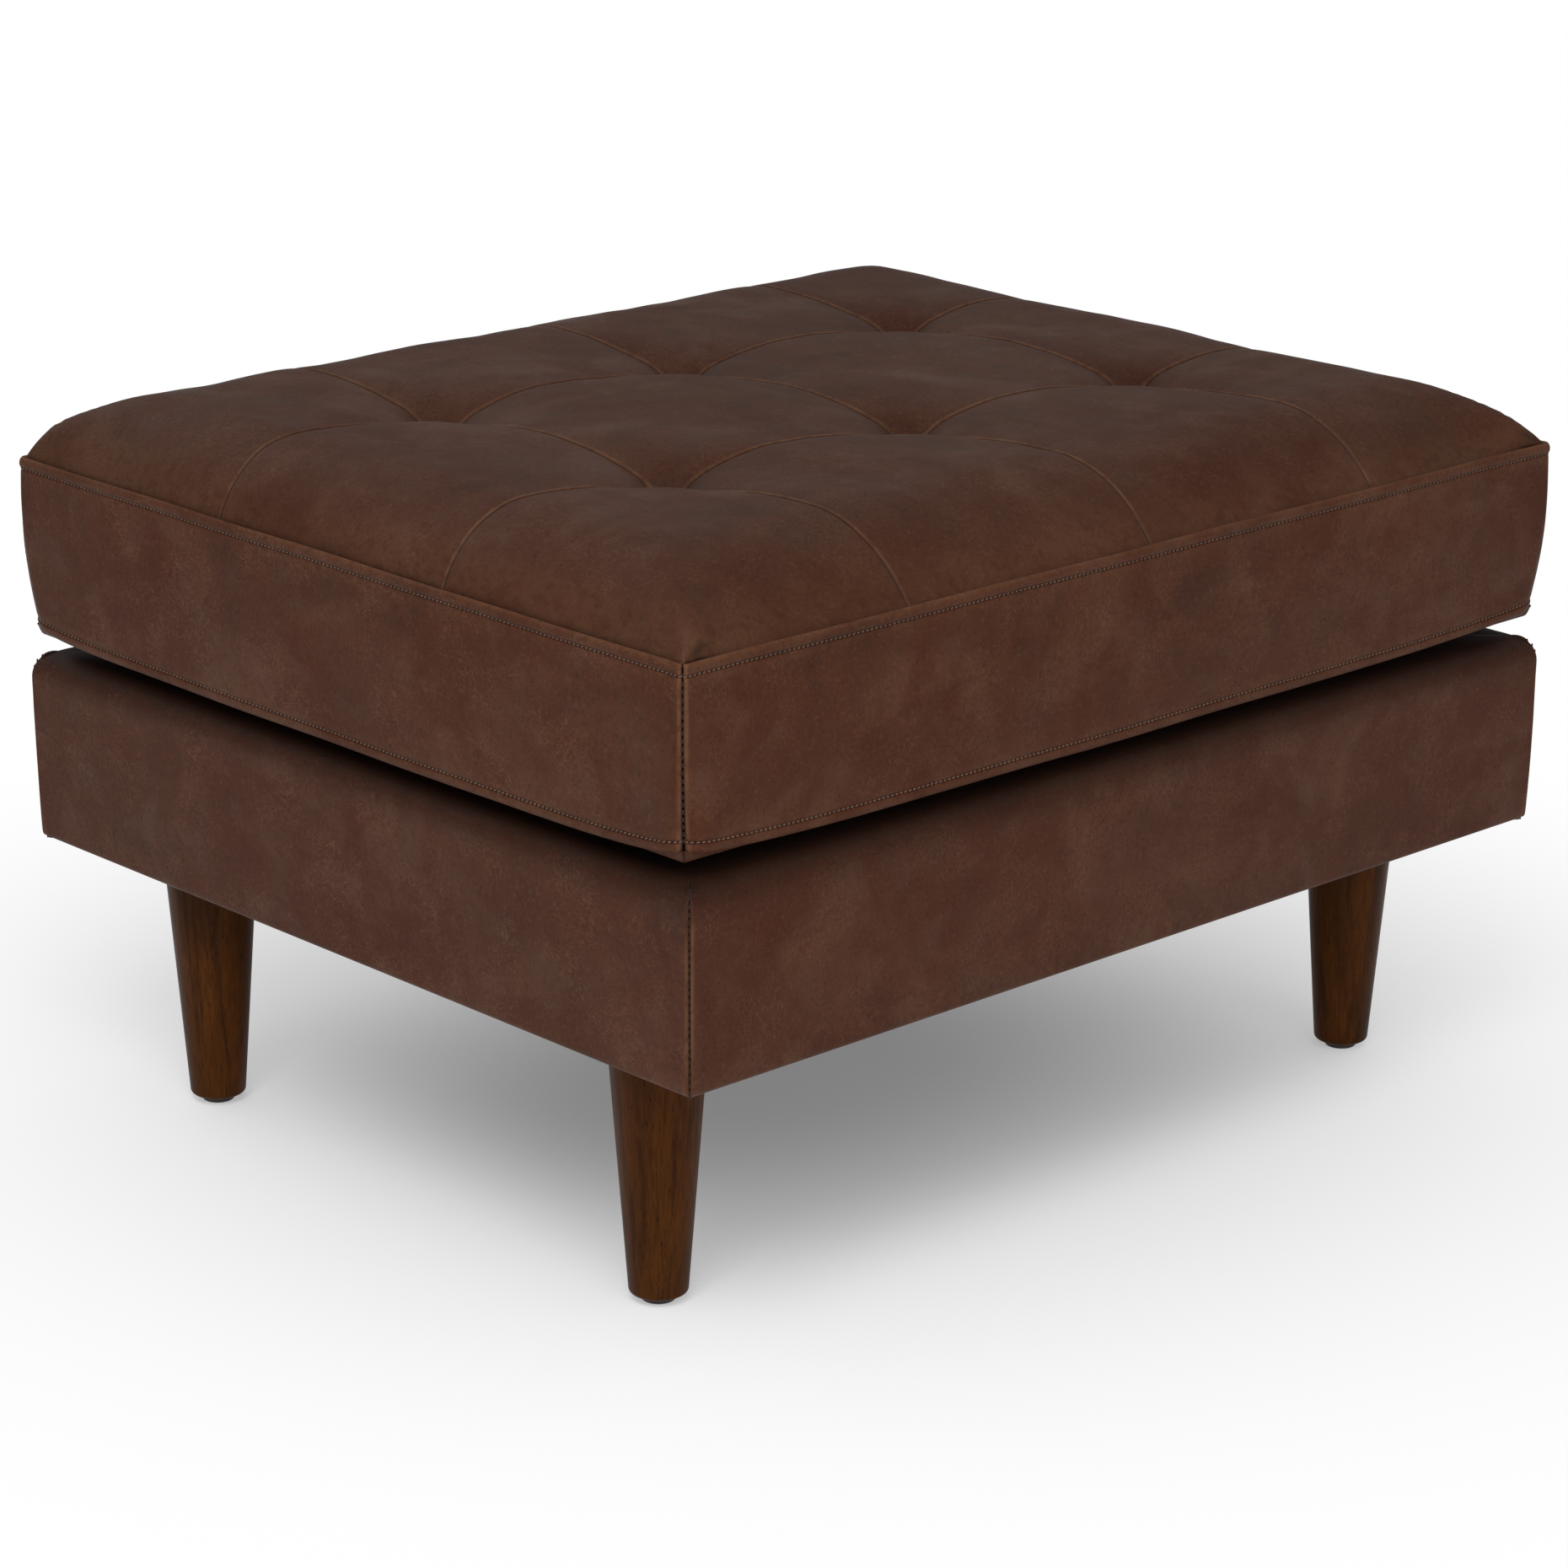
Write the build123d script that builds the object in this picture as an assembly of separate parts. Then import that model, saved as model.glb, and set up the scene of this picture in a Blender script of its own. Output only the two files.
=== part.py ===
from build123d import *
import os
from math import asin, cos, pi, sin, sqrt

# Tufted leather ottoman coffee table. Millimetres, +Z up.
# The origin is on the floor at the middle of the footprint. X runs along the
# long sides, and the front is at -Y.

# The loose cushion
cushion_width = 710.0
cushion_depth = 592.0
border_height = 105.0
pillow_rise = 43.0          # top of a panel, above the border's upper seam
seam_rise = 41.0            # a top seam midway between two tufts
tuft_rise = 13.0            # bottom of a tuft
edge_lip = 1.0              # the top and the underside meet the border this thick
end_lip = 3.0               # and this thick in the middle of its short ends
side_roll_run = 70.0        # the top is level from here inwards of the left and right borders
front_roll_run = 80.0       # the same at the front and back, where the top is full height
tuft_margin_x = 165.0       # width of an outer panel, from the border to the tufts
tuft_margin_y = 196.0
tuft_columns = 3
tuft_rows = 2
belly_drop = 14.7           # the underside hangs this far below the lower seam
belly_run = 60.0            # and is flat from here inwards
corner_radius = 5.0         # the border's upright corners
corner_radius_bottom = 24.0  # and where they round off towards the deck
bottom_tuck = 2.0           # the lower seam is drawn in by this
low_height = 30.0           # from this far above the lower seam
cushion_leather = 1.6

# What fills the cushion
wrap_side = 12.0
wrap_top = 12.0
panel_at_tuft = 3.0         # a stitched panel with its fibre, pressed thin at a tuft
panel_edge = 4.0            # width of a panel's bare leather edge at the border's seam
panel_back_run = 20.0       # how far a panel's back slopes up from there
core_lift = 1.5             # the core's underside, above the lower seam
channel_radius = 2.5
twine_radius = 0.9
anchor_radius = 12.5
anchor_thickness = 3.0
anchor_sides = 12

# Zip in the cushion's underside, along the back
zip_setback = 24.0
zip_end_margin = 75.0
slot_half = 4.0
coil_width = 2.3
coil_gap = 1.4
coil_depth = 2.2
tape_thickness = 0.6
tape_width = 12.0
zip_clearance = 0.3
slider_length = 11.0
slider_half = 4.5
slider_plate = 1.1
slider_web = 0.8
bridge_length = 4.0
bridge_width = 1.6
bridge_height = 1.8
eye_length = 1.8
pull_length = 22.0
pull_width = 5.0
pull_thickness = 0.8
stop_length = 3.0

# The upholstered base
cushion_overhang = 2.0      # the cushion stands out this far past the base's left and right sides
cushion_setback = 2.5       # and this far short of its front and back
base_height = 119.0
base_draw_in = 2.0          # the sides lean in by this at the bottom
bulge_height = 75.0         # where the sides stand out most, above the bottom
base_round_top = 17.0
base_round_bottom = 4.0
base_leather = 1.5
under_fold = 30.0           # leather turned under the rails
deck_lip = 90.0             # leather turned over the deck
base_pad = 9.0              # padding between rail and leather
seat_gap = 0.3              # air between the deck and the loose cushion

# Its timber frame
rail_thickness = 20.0
rail_height = 87.5
cross_rail_height = 50.0
cross_rail_drop = 20.0      # its top, below the webbing
block_thickness = 30.0
block_reach_x = 52.0        # from the leg's middle towards the middle of the base
block_reach_y = 47.0
post_side = 36.0
screw_length = 42.0
screw_radius = 2.5
screw_sides = 6
screw_inset = 22.0          # from a rail's upper or lower edge

# Webbing, cloth and foam of the deck
strap_width = 60.0
strap_thickness = 2.0
strap_end_gap = 6.0         # a strap ends this far inside the rail's outer face
lengthwise_strap_count = 3
crosswise_strap_count = 4
hessian_thickness = 0.8
platform_cloth_thickness = 1.0
dust_cover_thickness = 0.5
dust_cover_inset = 8.0
staple_length = 10.0
staple_width = 1.2
staple_thickness = 0.5
staple_edge = 6.0           # from the edge of what it holds
staple_pitch = 100.0
strap_end_staple_count = 2

# Legs
leg_inset_x = 62.0          # leg's middle, from the base's side
leg_inset_y = 94.5
leg_length = 156.0
leg_top_diameter = 57.0
leg_foot_diameter = 34.0
leg_foot_ease = 2.0
leg_sides = 32              # a turned leg, with few enough faces for a light mesh
bolt_diameter = 8.0
bolt_in_leg = 32.0
bolt_past_nut = 4.0
nut_across = 15.0
nut_sides = 6
nut_height = 6.5
washer_side = 26.0
washer_thickness = 2.0
glide_diameter = 20.0
glide_height = 4.5
glide_ease = 0.8
glide_sides = 24
nail_diameter = 2.4
nail_in_leg = 14.0
nail_in_glide = 3.0

# Shapes of the soft top, as shares of the spans that they follow
shoulder_run_share = 0.30   # a tuft's steep part, of the way to the crest
shoulder_drop_share = 0.29  # and the drop that is left above it
roll_station_shares = (0.0, 0.1, 0.28, 0.6, 1.0)
fall_station_shares = (1.0, 0.6, 0.3, 0.12, 0.0)
belly_station_shares = (0.0, 0.22, 0.45, 1.0)
shank_sides = 8             # bolts, nails and twine, too thin to need a round section

# Worked out from the sizes above
overrun = cushion_width
leg_top = glide_height + leg_length
base_bottom = leg_top + dust_cover_thickness
deck_top = base_bottom + base_height
cushion_bottom = deck_top + seat_gap
lower_seam = cushion_bottom + belly_drop
upper_seam = lower_seam + border_height
core_bottom = lower_seam + core_lift
panel_back = upper_seam + tuft_rise - panel_at_tuft
core_top = panel_back - wrap_top
belly_rise = belly_drop - edge_lip
belly_radius = (belly_run ** 2 + belly_rise ** 2) / (2 * belly_rise)
side_roll_radius = (side_roll_run ** 2 + pillow_rise ** 2) / (2 * pillow_rise)

base_width = cushion_width - 2 * cushion_overhang
base_depth = cushion_depth + 2 * cushion_setback
rail_bottom = base_bottom + base_leather
rail_top = rail_bottom + rail_height
rail_setback = base_leather + base_pad
rail_half_x = base_width / 2 - rail_setback
rail_half_y = base_depth / 2 - rail_setback
inner_half_x = rail_half_x - rail_thickness
inner_half_y = rail_half_y - rail_thickness
cross_rail_top = rail_top - cross_rail_drop
cross_rail_middle = cross_rail_top - cross_rail_height / 2
block_top = base_bottom + block_thickness
leg_x = base_width / 2 - leg_inset_x
leg_y = base_depth / 2 - leg_inset_y
hessian_bottom = rail_top + strap_thickness * 3 / 2
foam_bottom = hessian_bottom + hessian_thickness
foam_top = deck_top - base_leather


def spread(count, first, last):
    """Evenly spaced places from first to last."""
    return [first + (last - first) * i / (count - 1) for i in range(count)]


def spread_between(count, first, last):
    """Evenly spaced places between first and last, without these two."""
    gap = (last - first) / (count + 1)
    return spread(count, first + gap, last - gap)


tuft_xs = spread(tuft_columns, tuft_margin_x - cushion_width / 2, cushion_width / 2 - tuft_margin_x)
tuft_ys = spread(tuft_rows, tuft_margin_y - cushion_depth / 2, cushion_depth / 2 - tuft_margin_y)
tuft_places = [(x, y) for x in tuft_xs for y in tuft_ys]
leg_places = {
    "front_left": (-leg_x, -leg_y),
    "front_right": (leg_x, -leg_y),
    "back_left": (-leg_x, leg_y),
    "back_right": (leg_x, leg_y),
}
# Each side of the table, and how far a plan of the front is turned to it
side_turns = {side: 90 * i for i, side in enumerate(("front", "right", "back", "left"))}


def save(name, *solids):
    """Writes one node."""
    shape = solids[0] if len(solids) == 1 else Compound(children=list(solids))
    export_step(shape, f"parts/{name}.step")


def block(low, high):
    """Box between two corners."""
    sizes = [b - a for a, b in zip(low, high)]
    middle = [(a + b) / 2 for a, b in zip(low, high)]
    return Pos(*middle) * Box(*sizes)


def shank(x, y, bottom, top, radius, sides=shank_sides):
    """Upright prism that stands for a thin rod."""
    return Pos(x, y, bottom) * extrude(RegularPolygon(radius, sides), top - bottom)


def rounded_prism(width, depth, radius, bottom, top):
    """Upright prism with rounded corners."""
    return extrude(Plane.XY.offset(bottom) * RectangleRounded(width, depth, radius), top - bottom)


def mitre_wedge(side, width, depth, reach):
    """Prism over one side's share of a frame that is mitred at its corners."""
    along = width if side in ("front", "back") else depth
    out = depth if side in ("front", "back") else width
    half = along / 2
    inside = reach - out / 2
    plan = Polygon(
        (-half - reach, -out / 2 - reach),
        (half + reach, -out / 2 - reach),
        (half - reach, inside),
        (reach - half, inside),
        align=None,
    )
    return Rot(0, 0, side_turns[side]) * extrude(plan, overrun)


# The cushion's tufted top

def roll_run(radius, rise):
    """How far inside the border a roll of this radius is level."""
    return sqrt(2 * radius * rise - rise ** 2)


def roll_height(radius, rise, distance):
    """Height of the roll at a distance from the border."""
    return sqrt(radius ** 2 - (roll_run(radius, rise) - distance) ** 2) - (radius - rise)


def dip(share):
    """How far a crest has fallen, of its full fall, at a share of the way from the tuft."""
    if share > shoulder_run_share:
        return shoulder_drop_share * ((1 - share) / (1 - shoulder_run_share)) ** 2
    slope = 2 * shoulder_drop_share / (1 - shoulder_run_share)
    short = shoulder_run_share - share
    bend = (1 - shoulder_drop_share - slope * shoulder_run_share) / shoulder_run_share ** 2
    return shoulder_drop_share + slope * short + bend * short ** 2


def fall(x, crest, valley):
    """Two tangent arcs from a level crest down to a steep valley, as (y, z) pairs."""
    level = (0, valley[0] - crest[0], 0)
    shoulder_y = valley[0] + shoulder_run_share * (crest[0] - valley[0])
    shoulder_z = crest[1] - shoulder_drop_share * (crest[1] - valley[1])
    upper = Edge.make_tangent_arc((x, *crest), level, (x, shoulder_y, shoulder_z))
    lower = Edge.make_tangent_arc(upper @ 1, upper % 1, (x, *valley))
    return [upper, lower]


def front_run(rise):
    """How far inside the front border a crest of this rise lies: less towards the full corners."""
    return max(front_roll_run * (rise / (pillow_rise - edge_lip)) ** 2, rise)


def top_section(x, ridge, valley):
    """Closed outline across the cushion: a roll at each border and a valley at each tuft row."""
    half_depth = cushion_depth / 2
    crest_y = half_depth - front_run(ridge - edge_lip)
    ridge_z = upper_seam + ridge
    valley_z = upper_seam + valley
    edge_z = upper_seam + edge_lip
    crests = [-crest_y]
    crests += [(a + b) / 2 for a, b in zip(tuft_ys, tuft_ys[1:])]
    crests += [crest_y]
    edges = [Edge.make_line((x, -half_depth, upper_seam), (x, -half_depth, edge_z))]
    edges += [Edge.make_tangent_arc((x, -crest_y, ridge_z), (0, -1, 0), (x, -half_depth, edge_z))]
    for row, before, after in zip(tuft_ys, crests, crests[1:]):
        edges += fall(x, (before, ridge_z), (row, valley_z))
        edges += fall(x, (after, ridge_z), (row, valley_z))
    edges += [Edge.make_tangent_arc((x, crest_y, ridge_z), (0, 1, 0), (x, half_depth, edge_z))]
    edges += [Edge.make_line((x, half_depth, edge_z), (x, half_depth, upper_seam))]
    edges += [Edge.make_line((x, half_depth, upper_seam), (x, -half_depth, upper_seam))]
    return Wire(edges)


def tufted_strips():
    """Everything above the upper seam, lofted in strips from one tuft column to the next."""
    half_width = cushion_width / 2
    run = side_roll_run

    def heights(share):
        """Ridge and valley at a share of the way from a tuft column to a crest."""
        fallen = dip(share)
        return pillow_rise - (pillow_rise - seam_rise) * fallen, seam_rise - (seam_rise - tuft_rise) * fallen

    rolls = []
    for share in roll_station_shares:
        lift = end_lip + (1 - end_lip / pillow_rise) * roll_height(side_roll_radius, pillow_rise, share * run)
        rolls.append((share * run, lift, lift * seam_rise / pillow_rise))
    falls = []
    for share in fall_station_shares[1:]:
        falls.append((tuft_margin_x - share * (tuft_margin_x - run), *heights(share)))
    outer = rolls + falls

    strips = [[(distance - half_width, ridge, valley) for distance, ridge, valley in outer]]
    for left, right in zip(tuft_xs, tuft_xs[1:]):
        half = (right - left) / 2
        rising = [(left + share * half, *heights(share)) for share in reversed(fall_station_shares)]
        falling = [(right - share * half, *heights(share)) for share in fall_station_shares[1:]]
        strips.append(rising + falling)
    strips.append([(half_width - distance, ridge, valley) for distance, ridge, valley in reversed(outer)])

    outline = rounded_prism(cushion_width, cushion_depth, corner_radius, upper_seam, upper_seam + overrun)
    return [Solid.make_loft([top_section(*station) for station in strip], True) & outline for strip in strips]


# The cushion's border and underside

def border_form(inset):
    """Upright part between the two seams, with corners that round off towards the deck."""
    width = cushion_width - 2 * inset
    depth = cushion_depth - 2 * inset
    turn = lower_seam + low_height
    drawn_in = RectangleRounded(width - 2 * bottom_tuck, depth - 2 * bottom_tuck, corner_radius_bottom - inset)
    full = RectangleRounded(width, depth, corner_radius - inset)
    foot = loft([Plane.XY.offset(lower_seam) * drawn_in, Plane.XY.offset(turn) * full], ruled=True)
    return foot + extrude(Plane.XY.offset(turn) * full, upper_seam - turn)


def belly_section(x, flat, half_depth, drop):
    """Outline across the underside: flat in the middle and curved up to each seam."""
    bottom = lower_seam - drop
    edge = lower_seam - edge_lip
    return Wire([
        Edge.make_line((x, -half_depth, lower_seam), (x, -half_depth, edge)),
        Edge.make_tangent_arc((x, -flat, bottom), (0, -1, 0), (x, -half_depth, edge)),
        Edge.make_line((x, -flat, bottom), (x, flat, bottom)),
        Edge.make_tangent_arc((x, flat, bottom), (0, 1, 0), (x, half_depth, edge)),
        Edge.make_line((x, half_depth, edge), (x, half_depth, lower_seam)),
        Edge.make_line((x, half_depth, lower_seam), (x, -half_depth, lower_seam)),
    ])


def belly_form(inset):
    """Solid below the lower seam."""
    drop = belly_drop - inset
    radius = belly_radius - inset
    run = roll_run(radius, drop - edge_lip)
    flat_x = cushion_width / 2 - bottom_tuck - belly_run
    flat_y = cushion_depth / 2 - bottom_tuck - belly_run
    half_width = flat_x + run
    half_depth = flat_y + run
    end = []
    for share in belly_station_shares:
        depth = end_lip + (1 - end_lip / drop) * roll_height(radius, drop, share * roll_run(radius, drop))
        end.append((half_width - share * run, depth))
    right = Solid.make_loft([belly_section(x, flat_y, half_depth, depth) for x, depth in end], True)
    left = Solid.make_loft([belly_section(-x, flat_y, half_depth, depth) for x, depth in end], True)
    middle = Solid.make_loft([belly_section(x, flat_y, half_depth, drop) for x in (-flat_x, flat_x)], True)
    form = middle.fuse(left, right)
    corner = corner_radius_bottom - inset
    return form & rounded_prism(2 * half_width, 2 * half_depth, corner, base_bottom, lower_seam)


def panel_backs():
    """The space under the stitched panels, flat with sloping sides."""
    sections = []
    for height, inset in ((upper_seam, panel_edge), (panel_back, panel_edge + panel_back_run)):
        sections.append(Pos(0, 0, height) * Rectangle(cushion_width - 2 * inset, cushion_depth - 2 * inset))
    return loft(sections, ruled=True)


backs = panel_backs()


def make_top_panels():
    """Twelve panels of leather stitched over fibre, sewn together along the tuft lines."""
    panels = []
    ys = [-overrun, *tuft_ys, overrun]
    for strip in tufted_strips():
        stitched = strip - backs
        for low, high in zip(ys, ys[1:]):
            cell = block((-overrun, low, upper_seam), (overrun, high, upper_seam + overrun))
            panels += (stitched & cell).solids()
    return panels


fill_border = border_form(cushion_leather)
fill_belly = belly_form(cushion_leather)


def make_borders():
    """Four upright strips, mitred at the corners."""
    ring = border_form(0) - fill_border
    reach = corner_radius_bottom + bottom_tuck
    return {side: (ring & mitre_wedge(side, cushion_width, cushion_depth, reach)).solids()
            for side in side_turns}


# Zip: its parts lie across the back curve of the underside. In this plane x runs
# outwards along the leather, y into the cushion, and the normal along the table.
belly_half = cushion_depth / 2 - bottom_tuck
zip_lean = asin((belly_run - zip_setback) / belly_radius)
belly_centre = (0, belly_half - belly_run, cushion_bottom + belly_radius)
zip_frame = Plane(belly_centre, x_dir=(0, cos(zip_lean), sin(zip_lean)), z_dir=(1, 0, 0))
zip_half = cushion_width / 2 - zip_end_margin
coil_half = coil_gap / 2 + coil_width


def zip_bar(a_low, a_high, in_low, in_high, x_low, x_high):
    """Straight bar along the zip, by its place across the zip and its depth under the leather."""
    middle = Pos((a_low + a_high) / 2, (in_low + in_high) / 2 - belly_radius)
    sketch = middle * Rectangle(a_high - a_low, in_high - in_low)
    return Pos(x_low, 0, 0) * extrude(zip_frame * sketch, x_high - x_low)


def zip_band(side, a_low, a_high, in_low, in_high):
    """Curved band that lies against the leather on one side of the zip."""
    def at(depth, across):
        return side * across, -sqrt((belly_radius - depth) ** 2 - across ** 2)

    across = (a_low + a_high) / 2
    outline = [
        ThreePointArc(at(in_low, a_low), at(in_low, across), at(in_low, a_high)),
        Line(at(in_low, a_high), at(in_high, a_high)),
        ThreePointArc(at(in_high, a_high), at(in_high, across), at(in_high, a_low)),
        Line(at(in_high, a_low), at(in_low, a_low)),
    ]
    return Pos(-zip_half, 0, 0) * extrude(zip_frame * make_face(outline), 2 * zip_half, dir=(1, 0, 0))


def make_bottom_leather():
    """Main panel and the narrow strip behind the zip, with the zip's slot between them."""
    skin = belly_form(0) - fill_belly
    skin -= zip_bar(-slot_half, slot_half, -belly_drop, belly_drop, -zip_half, zip_half)
    parting = belly_half - zip_setback
    ahead = block((-overrun, -overrun, base_bottom), (overrun, parting, upper_seam))
    return (skin & ahead).solids(), (skin - ahead).solids()


def make_fill():
    """Foam core and the fibre wrapped over and under it, which meet halfway up."""
    core_half_x = cushion_width / 2 - cushion_leather - wrap_side
    core_half_y = cushion_depth / 2 - cushion_leather - wrap_side
    core = block((-core_half_x, -core_half_y, core_bottom), (core_half_x, core_half_y, core_top))
    wrap = fill_border + fill_belly + backs - core
    for x, y in tuft_places:
        channel = shank(x, y, core_bottom, panel_back, channel_radius)
        core -= channel
        core -= shank(x, y, core_bottom, core_bottom + anchor_thickness, anchor_radius, anchor_sides)
        wrap -= channel
    wrap -= zip_bar(-slider_half - zip_clearance, slider_half + zip_clearance, 0,
                    coil_depth + slider_plate + 2 * zip_clearance, -zip_half, zip_half)
    for side in (-1, 1):
        wrap -= zip_band(side, coil_gap / 2, coil_half + tape_width, 0, cushion_leather + tape_thickness)
    meeting = (lower_seam + upper_seam) / 2
    upper_half = block((-overrun, -overrun, meeting), (overrun, overrun, meeting + overrun))
    return core, (wrap & upper_half).solids(), (wrap - upper_half).solids()


def make_tufting():
    """Twine from each tuft to a disc under the core."""
    twines = []
    anchors = []
    for x, y in tuft_places:
        anchors.append(shank(x, y, core_bottom, core_bottom + anchor_thickness, anchor_radius, anchor_sides))
        twines.append(shank(x, y, core_bottom + anchor_thickness, panel_back, twine_radius))
    return twines, anchors


def make_zip():
    """Two taped coils, an end stop at each end, and the slider with its pull."""
    tapes = []
    coils = []
    for side in (-1, 1):
        near, far = sorted((side * coil_gap / 2, side * coil_half))
        coils.append(zip_bar(near, far, 0, coil_depth, -zip_half, zip_half))
        tapes.append(zip_band(side, coil_half, coil_half + tape_width,
                              cushion_leather, cushion_leather + tape_thickness))
    stops = []
    for end in (-1, 1):
        near, far = sorted((end * zip_half, end * (zip_half - stop_length)))
        stops.append(zip_bar(-coil_gap / 2, coil_gap / 2, 0, coil_depth, near, far))

    start = stop_length + zip_clearance - zip_half
    finish = start + slider_length
    middle = (start + finish) / 2
    outside = -zip_clearance - slider_plate
    inside = coil_depth + zip_clearance
    slider = zip_bar(-slider_half, slider_half, outside, -zip_clearance, start, finish)
    slider += zip_bar(-slider_half, slider_half, inside, inside + slider_plate, start, finish)
    slider += zip_bar(-slider_web / 2, slider_web / 2, -zip_clearance, inside, start, finish)
    bridge_end = outside - bridge_height
    slider += zip_bar(-bridge_width / 2, bridge_width / 2, bridge_end, outside,
                      middle - bridge_length / 2, middle + bridge_length / 2)
    pull_near = outside - (bridge_height - pull_thickness) / 4
    pull_far = pull_near - pull_thickness
    spare = (bridge_height - pull_thickness) / 8
    slider -= zip_bar(-bridge_width, bridge_width, pull_far - spare, pull_near + spare,
                      middle - eye_length / 2, middle + eye_length / 2)
    bar = eye_length / 2 - spare
    pull = zip_bar(-pull_width / 2, pull_width / 2, pull_far, pull_near, middle - bar, middle + pull_length)
    window = bridge_width / 2 + spare
    pull -= zip_bar(-window, window, pull_far, pull_near, middle + bar, middle + bridge_length)
    return tapes, coils, stops, slider, pull


# The base's leather, padding and frame

def side_path(half, inset):
    """Edges of the base's side, from the bottom up to the deck, as (outwards, height) pairs."""
    low_round = base_round_bottom - inset
    top_round = base_round_top - inset
    bottom_z = base_bottom + inset
    top_z = deck_top - inset
    bulge_z = base_bottom + bulge_height
    reach = bulge_z - base_bottom - base_round_bottom
    side_radius = (reach ** 2 + base_draw_in ** 2) / (2 * base_draw_in)
    rise = deck_top - base_round_top - bulge_z
    foot = half - inset - base_draw_in
    head = half - inset - side_radius + sqrt(side_radius ** 2 - rise ** 2)
    slant = sqrt(0.5)
    return [
        ThreePointArc((foot - low_round, bottom_z),
                      (foot - low_round * (1 - slant), bottom_z + low_round * (1 - slant)),
                      (foot, bottom_z + low_round)),
        ThreePointArc((foot, bottom_z + low_round), (half - inset, bulge_z), (head, top_z - top_round)),
        ThreePointArc((head, top_z - top_round),
                      (head - top_round * (1 - slant), top_z - top_round * (1 - slant)),
                      (head - top_round, top_z)),
    ]


def side_bar(side, outline):
    """A base section pushed along one side, past both corners."""
    along = base_depth if side in ("left", "right") else base_width
    section = Plane((-along, 0, 0), x_dir=(0, -1, 0), z_dir=(1, 0, 0))
    flipped = [mirror(edge, Plane.XZ) for edge in outline]
    bar = extrude(section * make_face(flipped), 2 * along, dir=(1, 0, 0))
    return Rot(0, 0, side_turns[side]) * bar


def mitred(side, bar):
    """A side's bar, cut at 45 degrees where it meets the next side's."""
    return bar & mitre_wedge(side, base_width, base_depth, min(base_width, base_depth) / 2)


def edge_waste(side):
    """What the rounded upper edge takes off a square one, inside the leather."""
    arc = side_path(half_across(side), base_leather)[-1]
    corner = ((arc @ 0).X, (arc @ 1).Y)
    return side_bar(side, [arc, Line(arc @ 0, corner), Line(corner, arc @ 1)])


def half_across(side):
    """Half the base's size from this side to the opposite one."""
    return (base_width if side in ("left", "right") else base_depth) / 2


def make_base_cover(side):
    """Leather turned under the rail, up the side and over the deck."""
    half = half_across(side)
    outer = side_path(half, 0)
    inner = side_path(half, base_leather)
    low_out, low_in = outer[0] @ 0, inner[0] @ 0
    top_out, top_in = outer[-1] @ 1, inner[-1] @ 1
    fold = half - under_fold
    lip = half - deck_lip
    outline = outer + inner + [
        Line(low_out, (fold, low_out.Y)),
        Line((fold, low_out.Y), (fold, low_in.Y)),
        Line((fold, low_in.Y), low_in),
        Line(top_out, (lip, top_out.Y)),
        Line((lip, top_out.Y), (lip, top_in.Y)),
        Line((lip, top_in.Y), top_in),
    ]
    return mitred(side, side_bar(side, outline))


def make_base_padding(side):
    """Soft layer between the rail's outer face and the leather."""
    half = half_across(side)
    low_round, flank, top_round = side_path(half, base_leather)
    low, head = low_round @ 0, flank @ 1
    face = half - rail_setback
    outline = [
        low_round,
        flank,
        Line(head, (head.X, foam_top)),
        Line((head.X, foam_top), (face, foam_top)),
        Line((face, foam_top), (face, low.Y)),
        Line((face, low.Y), low),
    ]
    return mitred(side, side_bar(side, outline) - edge_waste(side))


def screw(x, y, z, heading):
    """Screw driven in flush from the given place. Its pilot hole is its own shape."""
    rod = shank(0, 0, 0, screw_length, screw_radius, screw_sides)
    return Plane((x, y, z), z_dir=heading) * rod


def screw_places():
    """Head place and heading of every frame screw."""
    places = []
    for x in (-1, 1):
        for y in (-1, 1):
            for z in (rail_bottom + screw_inset, rail_top - screw_inset):
                places.append((x * (rail_half_x - rail_thickness / 2), y * rail_half_y, z, (0, -y, 0)))
            block_z = base_bottom + block_thickness / 2
            places.append((x * leg_x, y * rail_half_y, block_z, (0, -y, 0)))
            places.append((x * rail_half_x, y * leg_y, block_z, (-x, 0, 0)))
    for y in (-1, 1):
        places.append((0, y * rail_half_y, cross_rail_middle, (0, -y, 0)))
    return places


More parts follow.
